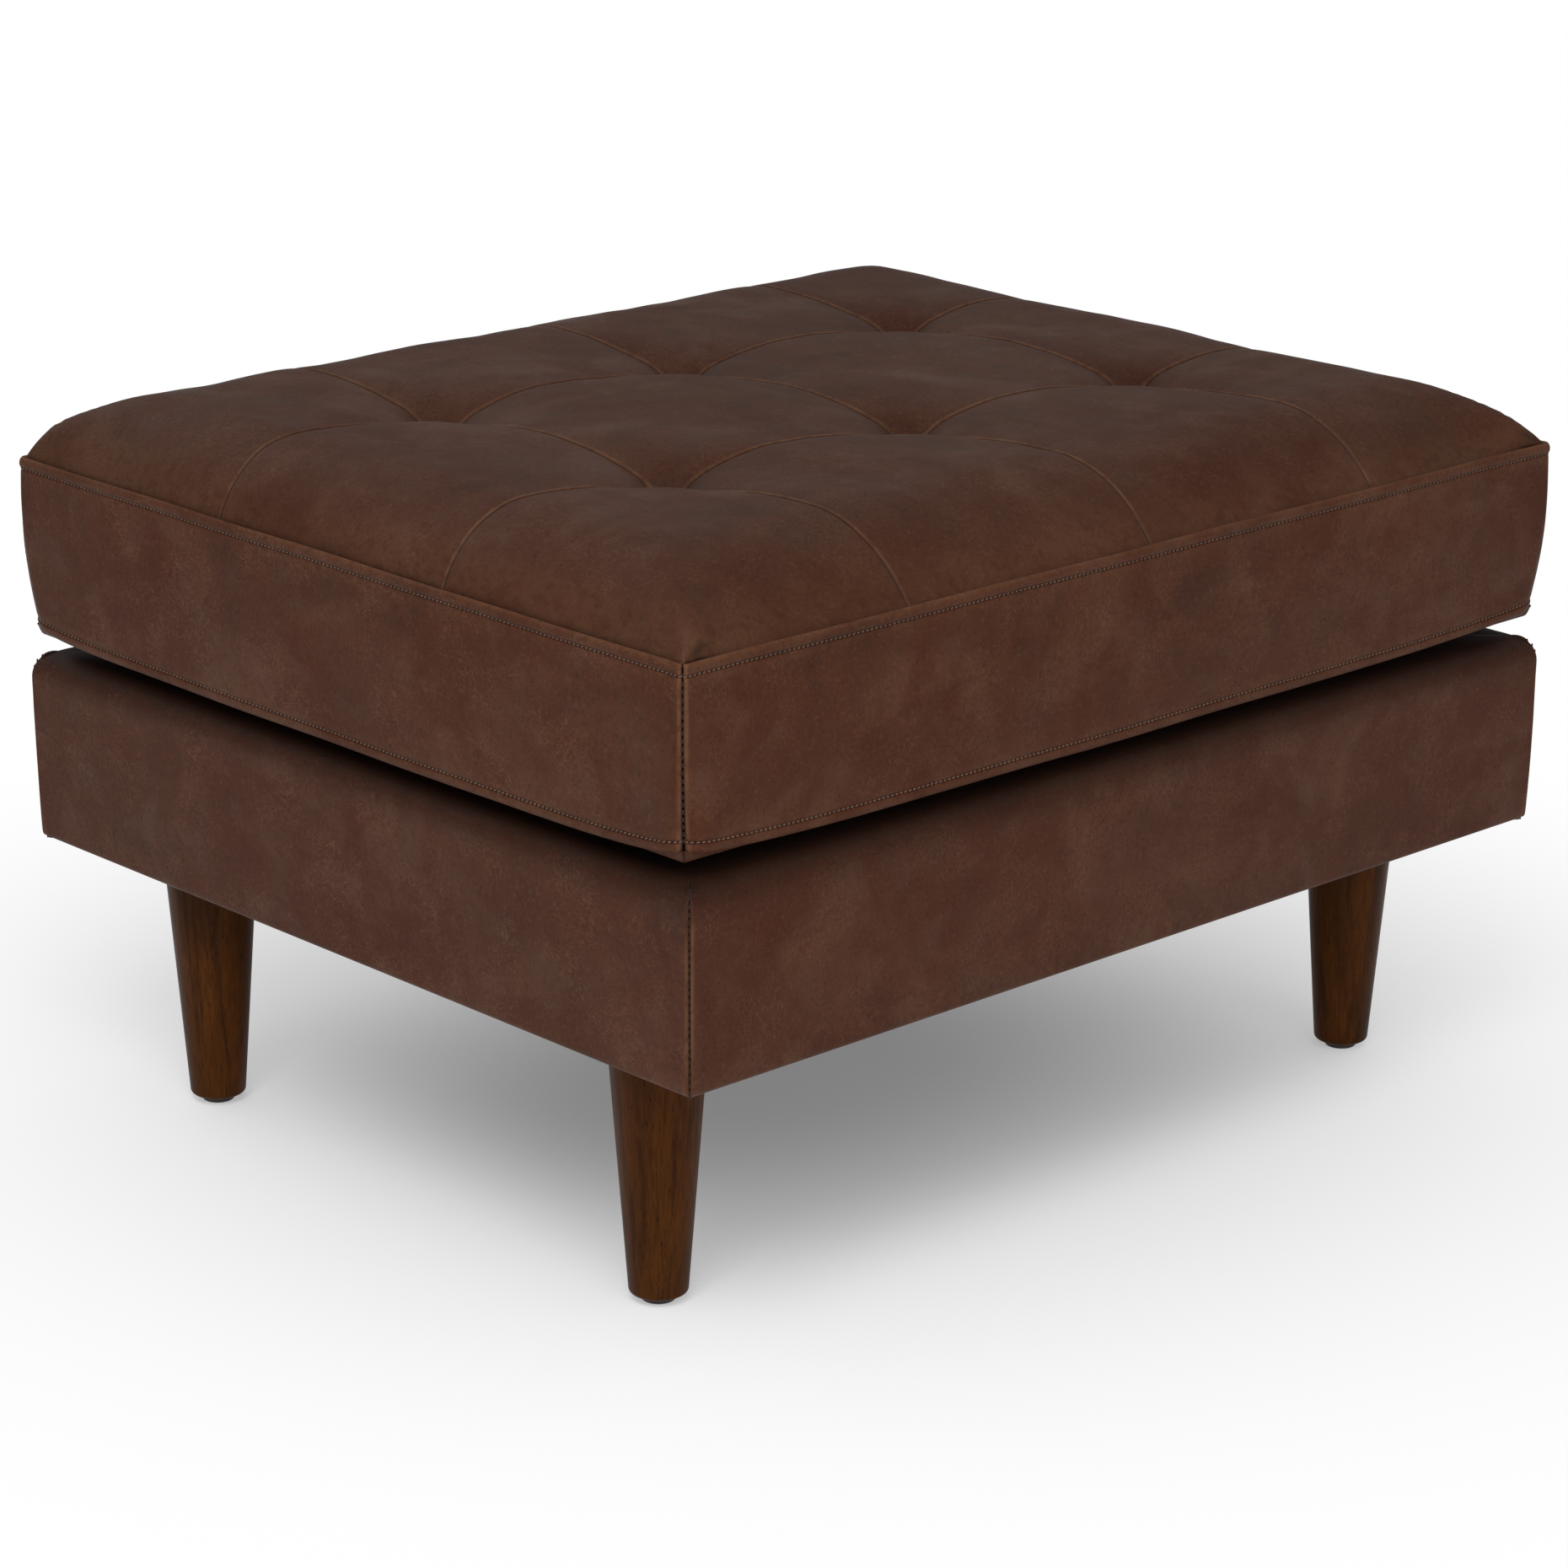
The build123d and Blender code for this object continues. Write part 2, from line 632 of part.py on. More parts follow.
def make_frame():
    """Rails, cross rail, leg blocks and corner posts, drilled for their screws and bolts."""
    pieces = {}
    for name, y in (("rail_front", -1), ("rail_back", 1)):
        near, far = sorted((y * inner_half_y, y * rail_half_y))
        pieces[name] = block((-rail_half_x, near, rail_bottom), (rail_half_x, far, rail_top))
    for name, x in (("rail_left", -1), ("rail_right", 1)):
        near, far = sorted((x * inner_half_x, x * rail_half_x))
        pieces[name] = block((near, -inner_half_y, rail_bottom), (far, inner_half_y, rail_top))
    half = rail_thickness / 2
    pieces["cross_rail"] = block((-half, -inner_half_y, cross_rail_top - cross_rail_height),
                                 (half, inner_half_y, cross_rail_top))
    for corner, (x, y) in leg_places.items():
        x_sign, y_sign = (1 if x > 0 else -1), (1 if y > 0 else -1)
        x_low, x_high = sorted((x - x_sign * block_reach_x, x_sign * inner_half_x))
        y_low, y_high = sorted((y - y_sign * block_reach_y, y_sign * inner_half_y))
        wood = block((x_low, y_low, base_bottom), (x_high, y_high, block_top))
        pieces[f"leg_block_{corner}"] = wood - bolt(x, y)
        x_low, x_high = sorted((x_sign * (inner_half_x - post_side), x_sign * inner_half_x))
        y_low, y_high = sorted((y_sign * (inner_half_y - post_side), y_sign * inner_half_y))
        pieces[f"corner_post_{corner}"] = block((x_low, y_low, block_top), (x_high, y_high, rail_top))
    screws = [screw(*place) for place in screw_places()]
    for name in pieces:
        box = pieces[name].bounding_box()
        for one in screws:
            if box.overlaps(one.bounding_box()):
                pieces[name] -= one
    return pieces, screws


# Webbing, cloth and foam of the deck

def strap(reach, opening, crossings, first_over):
    """One strap along X, level on its rails, over and under the straps that cross it."""
    step = strap_thickness / 2
    middle = rail_top + step
    ramp = strap_thickness * 2
    line = [(-reach, middle), (-opening, middle)]
    over = first_over
    for place in crossings:
        shift = step if over else -step
        line.append((place - strap_width / 2 - ramp, middle + shift))
        line.append((place + strap_width / 2 + ramp, middle + shift))
        over = not over
    line += [(opening, middle), (reach, middle)]
    upper = [(x, z + step) for x, z in line]
    lower = [(x, z - step) for x, z in reversed(line)]
    face = make_face(Plane.XZ * Polyline(*upper, *lower, close=True))
    return Pos(0, strap_width / 2, 0) * extrude(face, strap_width, dir=(0, -1, 0))


def strap_lines():
    """Where the lengthwise straps lie in Y, and the crosswise ones in X."""
    ys = spread_between(lengthwise_strap_count, -inner_half_y, inner_half_y)
    xs = spread_between(crosswise_strap_count, -inner_half_x, inner_half_x)
    return ys, xs


def make_webbing():
    """Interlaced straps, and the staples that hold their ends to the rails."""
    ys, xs = strap_lines()
    reach_x = rail_half_x - strap_end_gap
    reach_y = rail_half_y - strap_end_gap
    lengthwise = []
    for i, y in enumerate(ys):
        lengthwise.append(Pos(0, y, 0) * strap(reach_x, inner_half_x, xs, i % 2 == 0))
    crosswise = []
    for i, x in enumerate(xs):
        crosswise.append(Pos(x, 0, 0) * Rot(0, 0, 90) * strap(reach_y, inner_half_y, ys, i % 2 == 1))
    staples = []
    shifts = spread_between(strap_end_staple_count, -strap_width / 2, strap_width / 2)
    height = rail_top + strap_thickness + staple_thickness / 2
    for end in (-1, 1):
        for shift in shifts:
            for y in ys:
                place = Pos(end * (reach_x - staple_edge), y + shift, height)
                staples.append(place * Box(staple_width, staple_length, staple_thickness))
            for x in xs:
                place = Pos(x + shift, end * (reach_y - staple_edge), height)
                staples.append(place * Box(staple_length, staple_width, staple_thickness))
    return lengthwise, crosswise, staples


def make_deck():
    """Hessian, foam and the cloth inside the leather lip."""
    hessian = block((-rail_half_x, -rail_half_y, hessian_bottom), (rail_half_x, rail_half_y, foam_bottom))
    foam = block((-rail_half_x, -rail_half_y, foam_bottom), (rail_half_x, rail_half_y, foam_top))
    for side in side_turns:
        foam -= edge_waste(side)
    cloth_x = base_width / 2 - deck_lip
    cloth_y = base_depth / 2 - deck_lip
    cloth = block((-cloth_x, -cloth_y, foam_top), (cloth_x, cloth_y, foam_top + platform_cloth_thickness))
    return hessian, foam, cloth


def make_dust_cover():
    """Black cloth under the base, clamped by the legs, and its staples."""
    half_x = base_width / 2 - base_draw_in - dust_cover_inset
    half_y = base_depth / 2 - base_draw_in - dust_cover_inset
    cover = block((-half_x, -half_y, leg_top), (half_x, half_y, base_bottom))
    for x, y in leg_places.values():
        cover -= bolt(x, y)
    staples = []
    height = leg_top - staple_thickness / 2
    line_x = half_x - staple_edge
    line_y = half_y - staple_edge
    for x in spread(round(2 * line_x / staple_pitch) + 1, staple_length - line_x, line_x - staple_length):
        for y in (-line_y, line_y):
            staples.append(Pos(x, y, height) * Box(staple_length, staple_width, staple_thickness))
    for y in spread(round(2 * line_y / staple_pitch) + 1, staple_length - line_y, line_y - staple_length):
        for x in (-line_x, line_x):
            staples.append(Pos(x, y, height) * Box(staple_width, staple_length, staple_thickness))
    return cover, staples


# Legs and what fastens them

def turned(x, y, rings, sides):
    """Turned piece from (radius, height) rings, with flat facets for a light mesh."""
    def corner(ring, i):
        radius, height = ring
        turn = 2 * pi * (i % sides) / sides
        return x + radius * cos(turn), y + radius * sin(turn), height

    skin = [Face(Wire.make_polygon([corner(ring, i) for i in range(sides)])) for ring in (rings[0], rings[-1])]
    for low, high in zip(rings, rings[1:]):
        for i in range(sides):
            outline = [corner(low, i), corner(low, i + 1), corner(high, i + 1), corner(high, i)]
            skin.append(Face(Wire.make_polygon(outline)))
    return Solid(Shell(skin))


def make_leg(x, y):
    """Tapered leg with an eased foot, bored for its bolt and its glide's nail."""
    top = leg_top_diameter / 2
    foot = leg_foot_diameter / 2
    rings = [
        (foot - leg_foot_ease, glide_height),
        (foot, glide_height + leg_foot_ease),
        (top, leg_top),
    ]
    return turned(x, y, rings, leg_sides) - bolt(x, y) - nail(x, y)


def bolt(x, y):
    """Hanger bolt, screwed into the leg and standing up through the block."""
    head = block_top + washer_thickness + nut_height + bolt_past_nut
    return shank(x, y, leg_top - bolt_in_leg, head, bolt_diameter / 2)


def nut_and_washer(x, y):
    """Hexagonal nut and square washer that clamp a leg to its block."""
    washer = block((x - washer_side / 2, y - washer_side / 2, block_top),
                   (x + washer_side / 2, y + washer_side / 2, block_top + washer_thickness))
    base = block_top + washer_thickness
    nut = shank(x, y, base, base + nut_height, nut_across / 2 / cos(pi / nut_sides), nut_sides)
    return nut - bolt(x, y), washer - bolt(x, y)


def glide(x, y):
    """Plastic disc under a leg, moulded round its nail."""
    radius = glide_diameter / 2
    rings = [(radius - glide_ease, 0), (radius, glide_ease), (radius, glide_height)]
    return turned(x, y, rings, glide_sides) - nail(x, y)


def nail(x, y):
    """Nail that holds a glide."""
    return shank(x, y, glide_height - nail_in_glide, glide_height + nail_in_leg, nail_diameter / 2)


def main():
    """Builds and writes every node."""
    os.makedirs("parts", exist_ok=True)

    save("cushion_top_panels", *make_top_panels())
    for side, solids in make_borders().items():
        save(f"cushion_border_{side}", *solids)
    panel, strip = make_bottom_leather()
    save("cushion_bottom_panel", *panel)
    save("cushion_bottom_strip", *strip)
    core, wrap_above, wrap_below = make_fill()
    save("foam_core", core)
    save("fibre_wrap_top", *wrap_above)
    save("fibre_wrap_bottom", *wrap_below)
    twines, anchors = make_tufting()
    save("tufting_twine", *twines)
    save("tuft_anchors", *anchors)
    tapes, coils, stops, slider, pull = make_zip()
    save("zip_tapes", *tapes)
    save("zip_coils", *coils)
    save("zip_stops", *stops)
    save("zip_slider", slider)
    save("zip_pull", pull)

    for side in side_turns:
        save(f"base_cover_{side}", make_base_cover(side))
        save(f"base_padding_{side}", make_base_padding(side))
    frame, screws = make_frame()
    for name, wood in frame.items():
        save(name, wood)
    save("frame_screws", *screws)
    lengthwise, crosswise, strap_staples = make_webbing()
    save("webbing_lengthwise", *lengthwise)
    save("webbing_crosswise", *crosswise)
    save("webbing_staples", *strap_staples)
    hessian, foam, cloth = make_deck()
    save("hessian", hessian)
    save("deck_foam", foam)
    save("platform_cloth", cloth)
    dust_cover, cover_staples = make_dust_cover()
    save("dust_cover", dust_cover)
    save("dust_cover_staples", *cover_staples)

    for corner, (x, y) in leg_places.items():
        save(f"leg_{corner}", make_leg(x, y))
        save(f"foot_glide_{corner}", glide(x, y))
    save("hanger_bolts", *[bolt(x, y) for x, y in leg_places.values()])
    fastened = [nut_and_washer(x, y) for x, y in leg_places.values()]
    save("bolt_nuts", *[nut for nut, _ in fastened])
    save("bolt_washers", *[washer for _, washer in fastened])
    save("glide_nails", *[nail(x, y) for x, y in leg_places.values()])


main()
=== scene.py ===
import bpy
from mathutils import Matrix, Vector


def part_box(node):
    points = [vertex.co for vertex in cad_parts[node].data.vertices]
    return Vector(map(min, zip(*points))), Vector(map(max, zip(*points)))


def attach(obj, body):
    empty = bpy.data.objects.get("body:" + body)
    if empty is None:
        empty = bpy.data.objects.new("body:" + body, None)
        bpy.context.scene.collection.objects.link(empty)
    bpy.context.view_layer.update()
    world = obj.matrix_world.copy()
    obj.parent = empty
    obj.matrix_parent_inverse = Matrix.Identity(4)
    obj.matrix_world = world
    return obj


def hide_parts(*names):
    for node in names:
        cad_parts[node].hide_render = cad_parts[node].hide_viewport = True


bl_info = {
    "name": "Tufted Leather Ottoman",
    "version": (1, 0, 0),
    "blender": (4, 5, 0),
    "location": "View3D > Sidebar > Ottoman",
    "description": "Dresses a tufted leather ottoman coffee table around its packed frame",
    "category": "Object",
}

from math import cos, pi, radians, sin

import bpy
import bmesh
import numpy as np
from mathutils import Matrix, Vector
from mathutils.bvhtree import BVHTree

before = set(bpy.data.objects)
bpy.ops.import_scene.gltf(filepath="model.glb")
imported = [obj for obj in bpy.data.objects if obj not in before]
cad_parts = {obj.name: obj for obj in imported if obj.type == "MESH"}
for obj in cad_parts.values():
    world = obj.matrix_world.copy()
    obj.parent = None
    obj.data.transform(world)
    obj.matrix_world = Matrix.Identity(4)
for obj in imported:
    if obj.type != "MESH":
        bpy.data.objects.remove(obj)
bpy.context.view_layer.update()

MM = 0.001
SIDES = ("front", "right", "back", "left")
CORNERS = ("front_left", "front_right", "back_left", "back_right")


def metres(name, text, default):
    """A length that a user can change."""
    return bpy.props.FloatProperty(
        name=name, description=text, default=default, min=0.0, max=1.0,
        subtype="DISTANCE", unit="LENGTH", precision=4,
    )


def colour(name, text, default):
    """A colour that a user can change."""
    return bpy.props.FloatVectorProperty(
        name=name, description=text, default=default, min=0.0, max=1.0, size=3, subtype="COLOR",
    )


# Sizes read from the frame

ANCHOR_THICKNESS = 0.24  # of an anchor disc, as a share of its radius

border_low, border_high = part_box("cushion_border_front")
top_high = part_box("cushion_top_panels")[1]
belly_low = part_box("cushion_bottom_panel")[0]
anchor_low, anchor_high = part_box("tuft_anchors")
anchor_radius = (anchor_high.z - anchor_low.z) / ANCHOR_THICKNESS
tuft_column = anchor_high.x - anchor_radius
tuft_row = anchor_high.y - anchor_radius
base_low, base_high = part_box("base_cover_front")
base_side_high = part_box("base_cover_right")[1]
coil_low, coil_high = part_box("zip_coils")
leg_low, leg_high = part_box("leg_front_left")

CROSS_SEAMS = (-tuft_column, 0.0, tuft_column)
LONG_SEAMS = (-tuft_row, tuft_row)


class CushionSizes(bpy.types.PropertyGroup):
    """Sizes of the loose cushion."""

    half_width: metres("Half width", "Middle to the left or right border", top_high.x)
    half_depth: metres("Half depth", "Middle to the front or back border", top_high.y)
    lower_seam: metres("Lower seam", "Height of the border's lower edge", border_low.z)
    upper_seam: metres("Upper seam", "Height of the border's upper edge", border_high.z)
    pillow_rise: metres("Pillow rise", "Top of a panel above the upper seam", top_high.z - border_high.z)
    seam_rise: metres("Seam rise", "A top seam midway between tufts, above the upper seam", 41 * MM)
    tuft_rise: metres("Tuft rise", "Bottom of a tuft above the upper seam", 13 * MM)
    side_roll: metres("Side roll", "The top is level from here inwards of the side borders", 70 * MM)
    front_roll: metres("Front roll", "The same at the front and back borders", 80 * MM)
    tilt: bpy.props.FloatProperty(
        name="Tilt", description="How much fuller the left side is than the middle, as a share", default=0.06,
        min=0.0, max=0.2)
    edge_inset: metres("Edge inset", "The top's sewn edge inside the border's face", 2.8 * MM)
    stitch_drop: metres("Stitch drop", "Topstitching below the border's fold", 6.0 * MM)
    hem_rise: metres("Hem rise", "Lower topstitching above the lower seam", 3.8 * MM)
    bow: metres("Bow", "How far a border swells at the middle of its length", 1.6 * MM)
    corner_lift: metres("Corner lift", "How much higher the lower fold is at the corners", 5.5 * MM)
    leather: metres("Leather", "Thickness of the leather", 1.5 * MM)


class BaseSizes(bpy.types.PropertyGroup):
    """Sizes of the upholstered base."""

    half_width: metres("Half width", "Middle to the left or right side", base_side_high.x)
    half_depth: metres("Half depth", "Middle to the front or back side", -base_low.y)
    bottom: metres("Bottom", "Height of the base's lower edge", base_low.z)
    top: metres("Top", "Height of the deck", base_high.z)
    draw_in: metres("Draw in", "How far the sides lean in at the bottom", 2.0 * MM)
    bulge: metres("Bulge height", "Where the sides stand out most, above the bottom", 75 * MM)
    top_round: metres("Top round", "Radius of the upper edge", 17 * MM)
    bottom_round: metres("Bottom round", "Radius of the lower edge", 4 * MM)
    corner_round: metres("Corner round", "Radius of the upright corners", 5 * MM)
    deck_lip: metres("Deck lip", "Leather turned over the deck", 90 * MM)
    under_fold: metres("Under fold", "Leather turned under the rails", 30 * MM)
    leather: metres("Leather", "Thickness of the leather", 1.4 * MM)


class StitchSizes(bpy.types.PropertyGroup):
    """Sizes of the sewing."""

    pitch: metres("Pitch", "From one stitch to the next", 3.3 * MM)
    length: metres("Length", "Length of one stitch", 2.3 * MM)
    radius: metres("Radius", "Half the thread's thickness", 0.45 * MM)
    corner_pitch: metres("Corner pitch", "From one corner stitch to the next", 4.2 * MM)
    corner_length: metres("Corner length", "Length of one corner stitch", 2.9 * MM)
    corner_radius: metres("Corner radius", "Half the corner thread's thickness", 0.58 * MM)


class LeatherLooks(bpy.types.PropertyGroup):
    """Colours of the leather, its thread and the stained wood."""

    body: colour("Body", "Main colour of the leather", (0.066, 0.0205, 0.0082))
    dark: colour("Dark", "Darker clouds", (0.026, 0.0076, 0.0030))
    red: colour("Red", "Redder clouds", (0.056, 0.0138, 0.0042))
    pale: colour("Pale", "Rubbed and pressed places", (0.132, 0.058, 0.029))
    thread: colour("Thread", "Topstitching", (0.135, 0.066, 0.037))
    wood: colour("Wood", "Stained wood", (0.058, 0.0180, 0.0024))
    wood_dark: colour("Wood pores", "Pores and dark grain", (0.014, 0.0040, 0.0007))


GROUPS = (
    ("ottoman_cushion", CushionSizes),
    ("ottoman_base", BaseSizes),
    ("ottoman_stitches", StitchSizes),
    ("ottoman_looks", LeatherLooks),
)


def looks():
    """The colours that a user can change."""
    return bpy.context.scene.ottoman_looks


# Node helpers

class Tree:
    """Adds nodes to a node tree and links them as they are made."""

    def __init__(self, tree):
        self.tree = tree

    def add(self, kind, settings=None, **inputs):
        """One node. Sockets are linked and plain values are set, by input name or number."""
        node = self.tree.nodes.new(kind)
        for name, value in (settings or {}).items():
            setattr(node, name, value)
        for name, value in inputs.items():
            key = int(name[1:]) if name[0] == "_" and name[1:].isdigit() else name.replace("_", " ")
            self.feed(node.inputs[key], value)
        return node

    def feed(self, socket, value):
        """Links a socket or sets its value."""
        if isinstance(value, bpy.types.NodeSocket):
            self.tree.links.new(value, socket)
        else:
            socket.default_value = value

    def math(self, operation, *values, clamp=False):
        """One math node's result."""
        node = self.add("ShaderNodeMath", {"operation": operation, "use_clamp": clamp})
        for socket, value in zip(node.inputs, values):
            self.feed(socket, value)
        return node.outputs[0]

    def times(self, first, second, clamp=False):
        """First times second."""
        return self.math("MULTIPLY", first, second, clamp=clamp)

    def scaled(self, value, factor, start):
        """Start plus value times factor."""
        return self.math("ADD", self.times(value, factor), start)

    def blend(self, first, second, share):
        """Two values added by their shares; the share is the second's."""
        return self.scaled(first, 1 - share, self.times(second, share))

    def highest(self, first, second):
        """The greater of two values."""
        return self.math("MAXIMUM", first, second)

    def from_half(self, value):
        """How far a value is from one half."""
        return self.math("ABSOLUTE", self.math("SUBTRACT", value, 0.5))

    def mix(self, share, first, second):
        """Mixed colour."""
        return self.add("ShaderNodeMix", {"data_type": "RGBA"}, _0=share, _6=first, _7=second).outputs[2]

    def tint(self, tone, *layers):
        """A colour under layers of (mask, amount, colour)."""
        for mask, amount, layer in layers:
            tone = self.mix(self.times(mask, amount), tone, layer)
        return tone

    def ramp(self, value, low, high):
        """Value spread from 0 at low to 1 at high."""
        return self.add("ShaderNodeMapRange", {"interpolation_type": "SMOOTHSTEP"},
                        Value=value, From_Min=low, From_Max=high).outputs["Result"]

    def noise(self, vector, scale, detail=3.0, rough=0.5, warp=0.0):
        """Cloudy value round one half."""
        return self.add("ShaderNodeTexNoise", Vector=vector, Scale=scale, Detail=detail,
                        Roughness=rough, Distortion=warp).outputs["Fac"]

    def stretch(self, vector, scale=(1, 1, 1), turn=(0, 0, 0), shift=(0, 0, 0)):
        """Scaled, turned and shifted coordinates."""
        return self.add("ShaderNodeMapping", Vector=vector, Scale=scale, Rotation=turn,
                        Location=shift).outputs[0]

    def at_vertices(self, label):
        """A value that the mesh holds at its vertices."""
        return self.add("ShaderNodeAttribute", {"attribute_name": label}).outputs["Fac"]


def node_group(name, inputs, outputs):
    """An empty shader node group with named sockets."""
    group = bpy.data.node_groups.new(name, "ShaderNodeTree")
    for label, kind, default in inputs:
        socket = group.interface.new_socket(name=label, in_out="INPUT", socket_type=kind)
        socket.default_value = default
    for label, kind in outputs:
        group.interface.new_socket(name=label, in_out="OUTPUT", socket_type=kind)
    tree = Tree(group)
    return tree, tree.add("NodeGroupInput").outputs, tree.add("NodeGroupOutput").inputs


FLOAT = "NodeSocketFloat"
COLOR = "NodeSocketColor"
WHITE = (1.0, 1.0, 1.0, 1.0)
# Near-black of painted shade in grooves, holes, hollows and under the cushion.
PAINTED_SHADE_COLOUR = (0.008, 0.004, 0.003, 1.0)
PLACE = ("Place", "NodeSocketVector", (0, 0, 0))
HIDE_COLOURS = ("Body", "Dark", "Red", "Pale")


# Shared effects. A noise is given as scale, detail, roughness and warp.

def make_leather_clouds():
    """Cloudy colour of waxed leather: dark and red clouds, with paler rubbed patches."""
    colours = [(label, COLOR, WHITE) for label in HIDE_COLOURS]
    tree, given, out = node_group("Leather Clouds", [PLACE, *colours], [("Color", COLOR), ("Rub", FLOAT)])
    place, dark, pale = given["Place"], given["Dark"], given["Pale"]
    broad = tree.noise(place, 8.0, 3.0, 0.6, 0.5)
    middle = tree.noise(place, 34.0, 4.0, 0.66)
    patch = tree.noise(tree.stretch(place, (1.0, 1.0, 1.4), (0.6, 0.2, 1.1)), 13.0, 3.0, 0.6, 0.7)
    fine = tree.noise(place, 380.0, 3.0, 0.7)
    tone = tree.mix(tree.ramp(broad, 0.30, 0.68), given["Red"], given["Body"])
    shade = tree.ramp(tree.blend(broad, middle, 0.6), 0.47, 0.66)
    rub = tree.ramp(tree.blend(patch, middle, 0.45), 0.44, 0.69)
    tone = tree.tint(tone, (shade, 0.58, dark), (rub, 0.33, pale), (tree.ramp(fine, 0.53, 0.70), 0.55, dark),
                     (tree.ramp(fine, 0.44, 0.30), 0.35, pale))
    tree.feed(out["Color"], tone)
    tree.feed(out["Rub"], rub)


def make_leather_scratches():
    """Short fine scratches in two directions, gathered in patches."""
    tree, given, out = node_group("Leather Scratches", [PLACE], [("Mask", FLOAT)])
    place = given["Place"]
    scratches = []
    for turn, scale in (((0.3, 0.9, 0.4), 260.0), ((1.4, 0.2, 2.0), 330.0)):
        lines = tree.noise(tree.stretch(place, (1.0, 0.30, 0.45), turn), scale, 1.0, 0.5, 2.6)
        scratches.append(tree.ramp(tree.from_half(lines), 0.026, 0.004))
    patch = tree.ramp(tree.noise(place, 24.0, 2.0, 0.6), 0.42, 0.62)
    tree.feed(out["Mask"], tree.times(tree.highest(*scratches), patch))


def make_leather_grain():
    """Pebbled grain with a softer relief under it, as a height."""
    tree, given, out = node_group("Leather Grain", [PLACE, ("Scale", FLOAT, 900.0)], [("Height", FLOAT)])
    place = given["Place"]
    warp = tree.add("ShaderNodeTexNoise", Vector=place, Scale=180.0, Detail=0.0).outputs["Color"]
    push = tree.add("ShaderNodeVectorMath", {"operation": "SCALE"}, _0=warp, Scale=0.003).outputs[0]
    moved = tree.add("ShaderNodeVectorMath", {"operation": "ADD"}, _0=place, _1=push).outputs[0]
    cells = tree.add("ShaderNodeTexVoronoi", Vector=moved, Scale=given["Scale"]).outputs["Distance"]
    tree.feed(out["Height"], tree.scaled(cells, -0.6, tree.noise(place, 420.0, 2.0, 0.6)))


def make_seam_wear():
    """Broken-up mask along seams and folds, from the mesh's own wear value."""
    tree, given, out = node_group("Seam Wear", [PLACE, ("Wear", FLOAT, 0.0)], [("Mask", FLOAT)])
    broken = tree.ramp(tree.noise(given["Place"], 130.0, 2.0, 0.65), 0.34, 0.58)
    slow = tree.ramp(tree.noise(given["Place"], 16.0, 1.0), 0.3, 0.62)
    worn = tree.times(given["Wear"], tree.scaled(broken, 0.6, 0.4))
    tree.feed(out["Mask"], tree.times(worn, tree.scaled(slow, 0.55, 0.45), clamp=True))


def make_stitch_holes():
    """Painted shade in the groove of a row of stitches, darkest at the needle holes between them.

    Steps counts the stitches along the row, and across is the distance from it.
    """
    tree, given, out = node_group(
        "Stitch Holes", [("Steps", FLOAT, 0.0), ("Across", FLOAT, 1.0)], [("Mask", FLOAT)])
    hole = tree.ramp(tree.from_half(tree.math("FRACT", given["Steps"])), 0.24, 0.34)
    near = tree.ramp(tree.math("ABSOLUTE", given["Across"]), 1.25 * MM, 0.6 * MM)
    tree.feed(out["Mask"], tree.times(tree.scaled(hole, 0.62, 0.30), near))


def make_weave():
    """Plain weave: a mask of threads over and under, and its height."""
    tree, given, out = node_group(
        "Plain Weave", [PLACE, ("Scale", FLOAT, 1.0)], [("Mask", FLOAT), ("Height", FLOAT)])
    waves = [tree.add("ShaderNodeTexWave", {"bands_direction": axis, "wave_profile": "SIN"},
                      Vector=given["Place"], Scale=given["Scale"], Distortion=0.4).outputs["Fac"]
             for axis in ("X", "Y")]
    tree.feed(out["Mask"], tree.times(*waves))
    tree.feed(out["Height"], tree.highest(*waves))


def make_groups():
    """Every shared effect, once."""
    for make in (make_leather_clouds, make_leather_scratches, make_leather_grain, make_seam_wear,
                 make_stitch_holes, make_weave):
        make()


def use_group(tree, name, **inputs):
    """Places a shared effect in a material."""
    return tree.add("ShaderNodeGroup", {"node_tree": bpy.data.node_groups[name]}, **inputs).outputs


# Materials

def rgba(values, shade=1.0):
    """Colour with full alpha, darkened or lightened by a factor."""
    return (*(shade * value for value in values), 1.0)


def new_material(name, offset=None, **plain):
    """A material, its nodes, its Principled shader and its coordinates, with plain values on the shader."""
    material = bpy.data.materials.new(name)
    material.use_nodes = True
    tree = Tree(material.node_tree)
    shader = material.node_tree.nodes["Principled BSDF"]
    for label, value in plain.items():
        tree.feed(shader.inputs[label.replace("_", " ")], value)
    place = tree.add("ShaderNodeTexCoord").outputs["Object"]
    if offset:
        place = tree.stretch(place, shift=offset)
    return material, tree, shader, place


def finish(tree, shader, tone, roughness, height, strength, depth):
    """Feeds a colour, a roughness and a relief to the shader."""
    relief = tree.add("ShaderNodeBump", Height=height, Strength=strength, Distance=depth)
    tree.feed(shader.inputs["Base Color"], tone)
    tree.feed(shader.inputs["Roughness"], roughness)
    tree.feed(shader.inputs["Normal"], relief.outputs["Normal"])


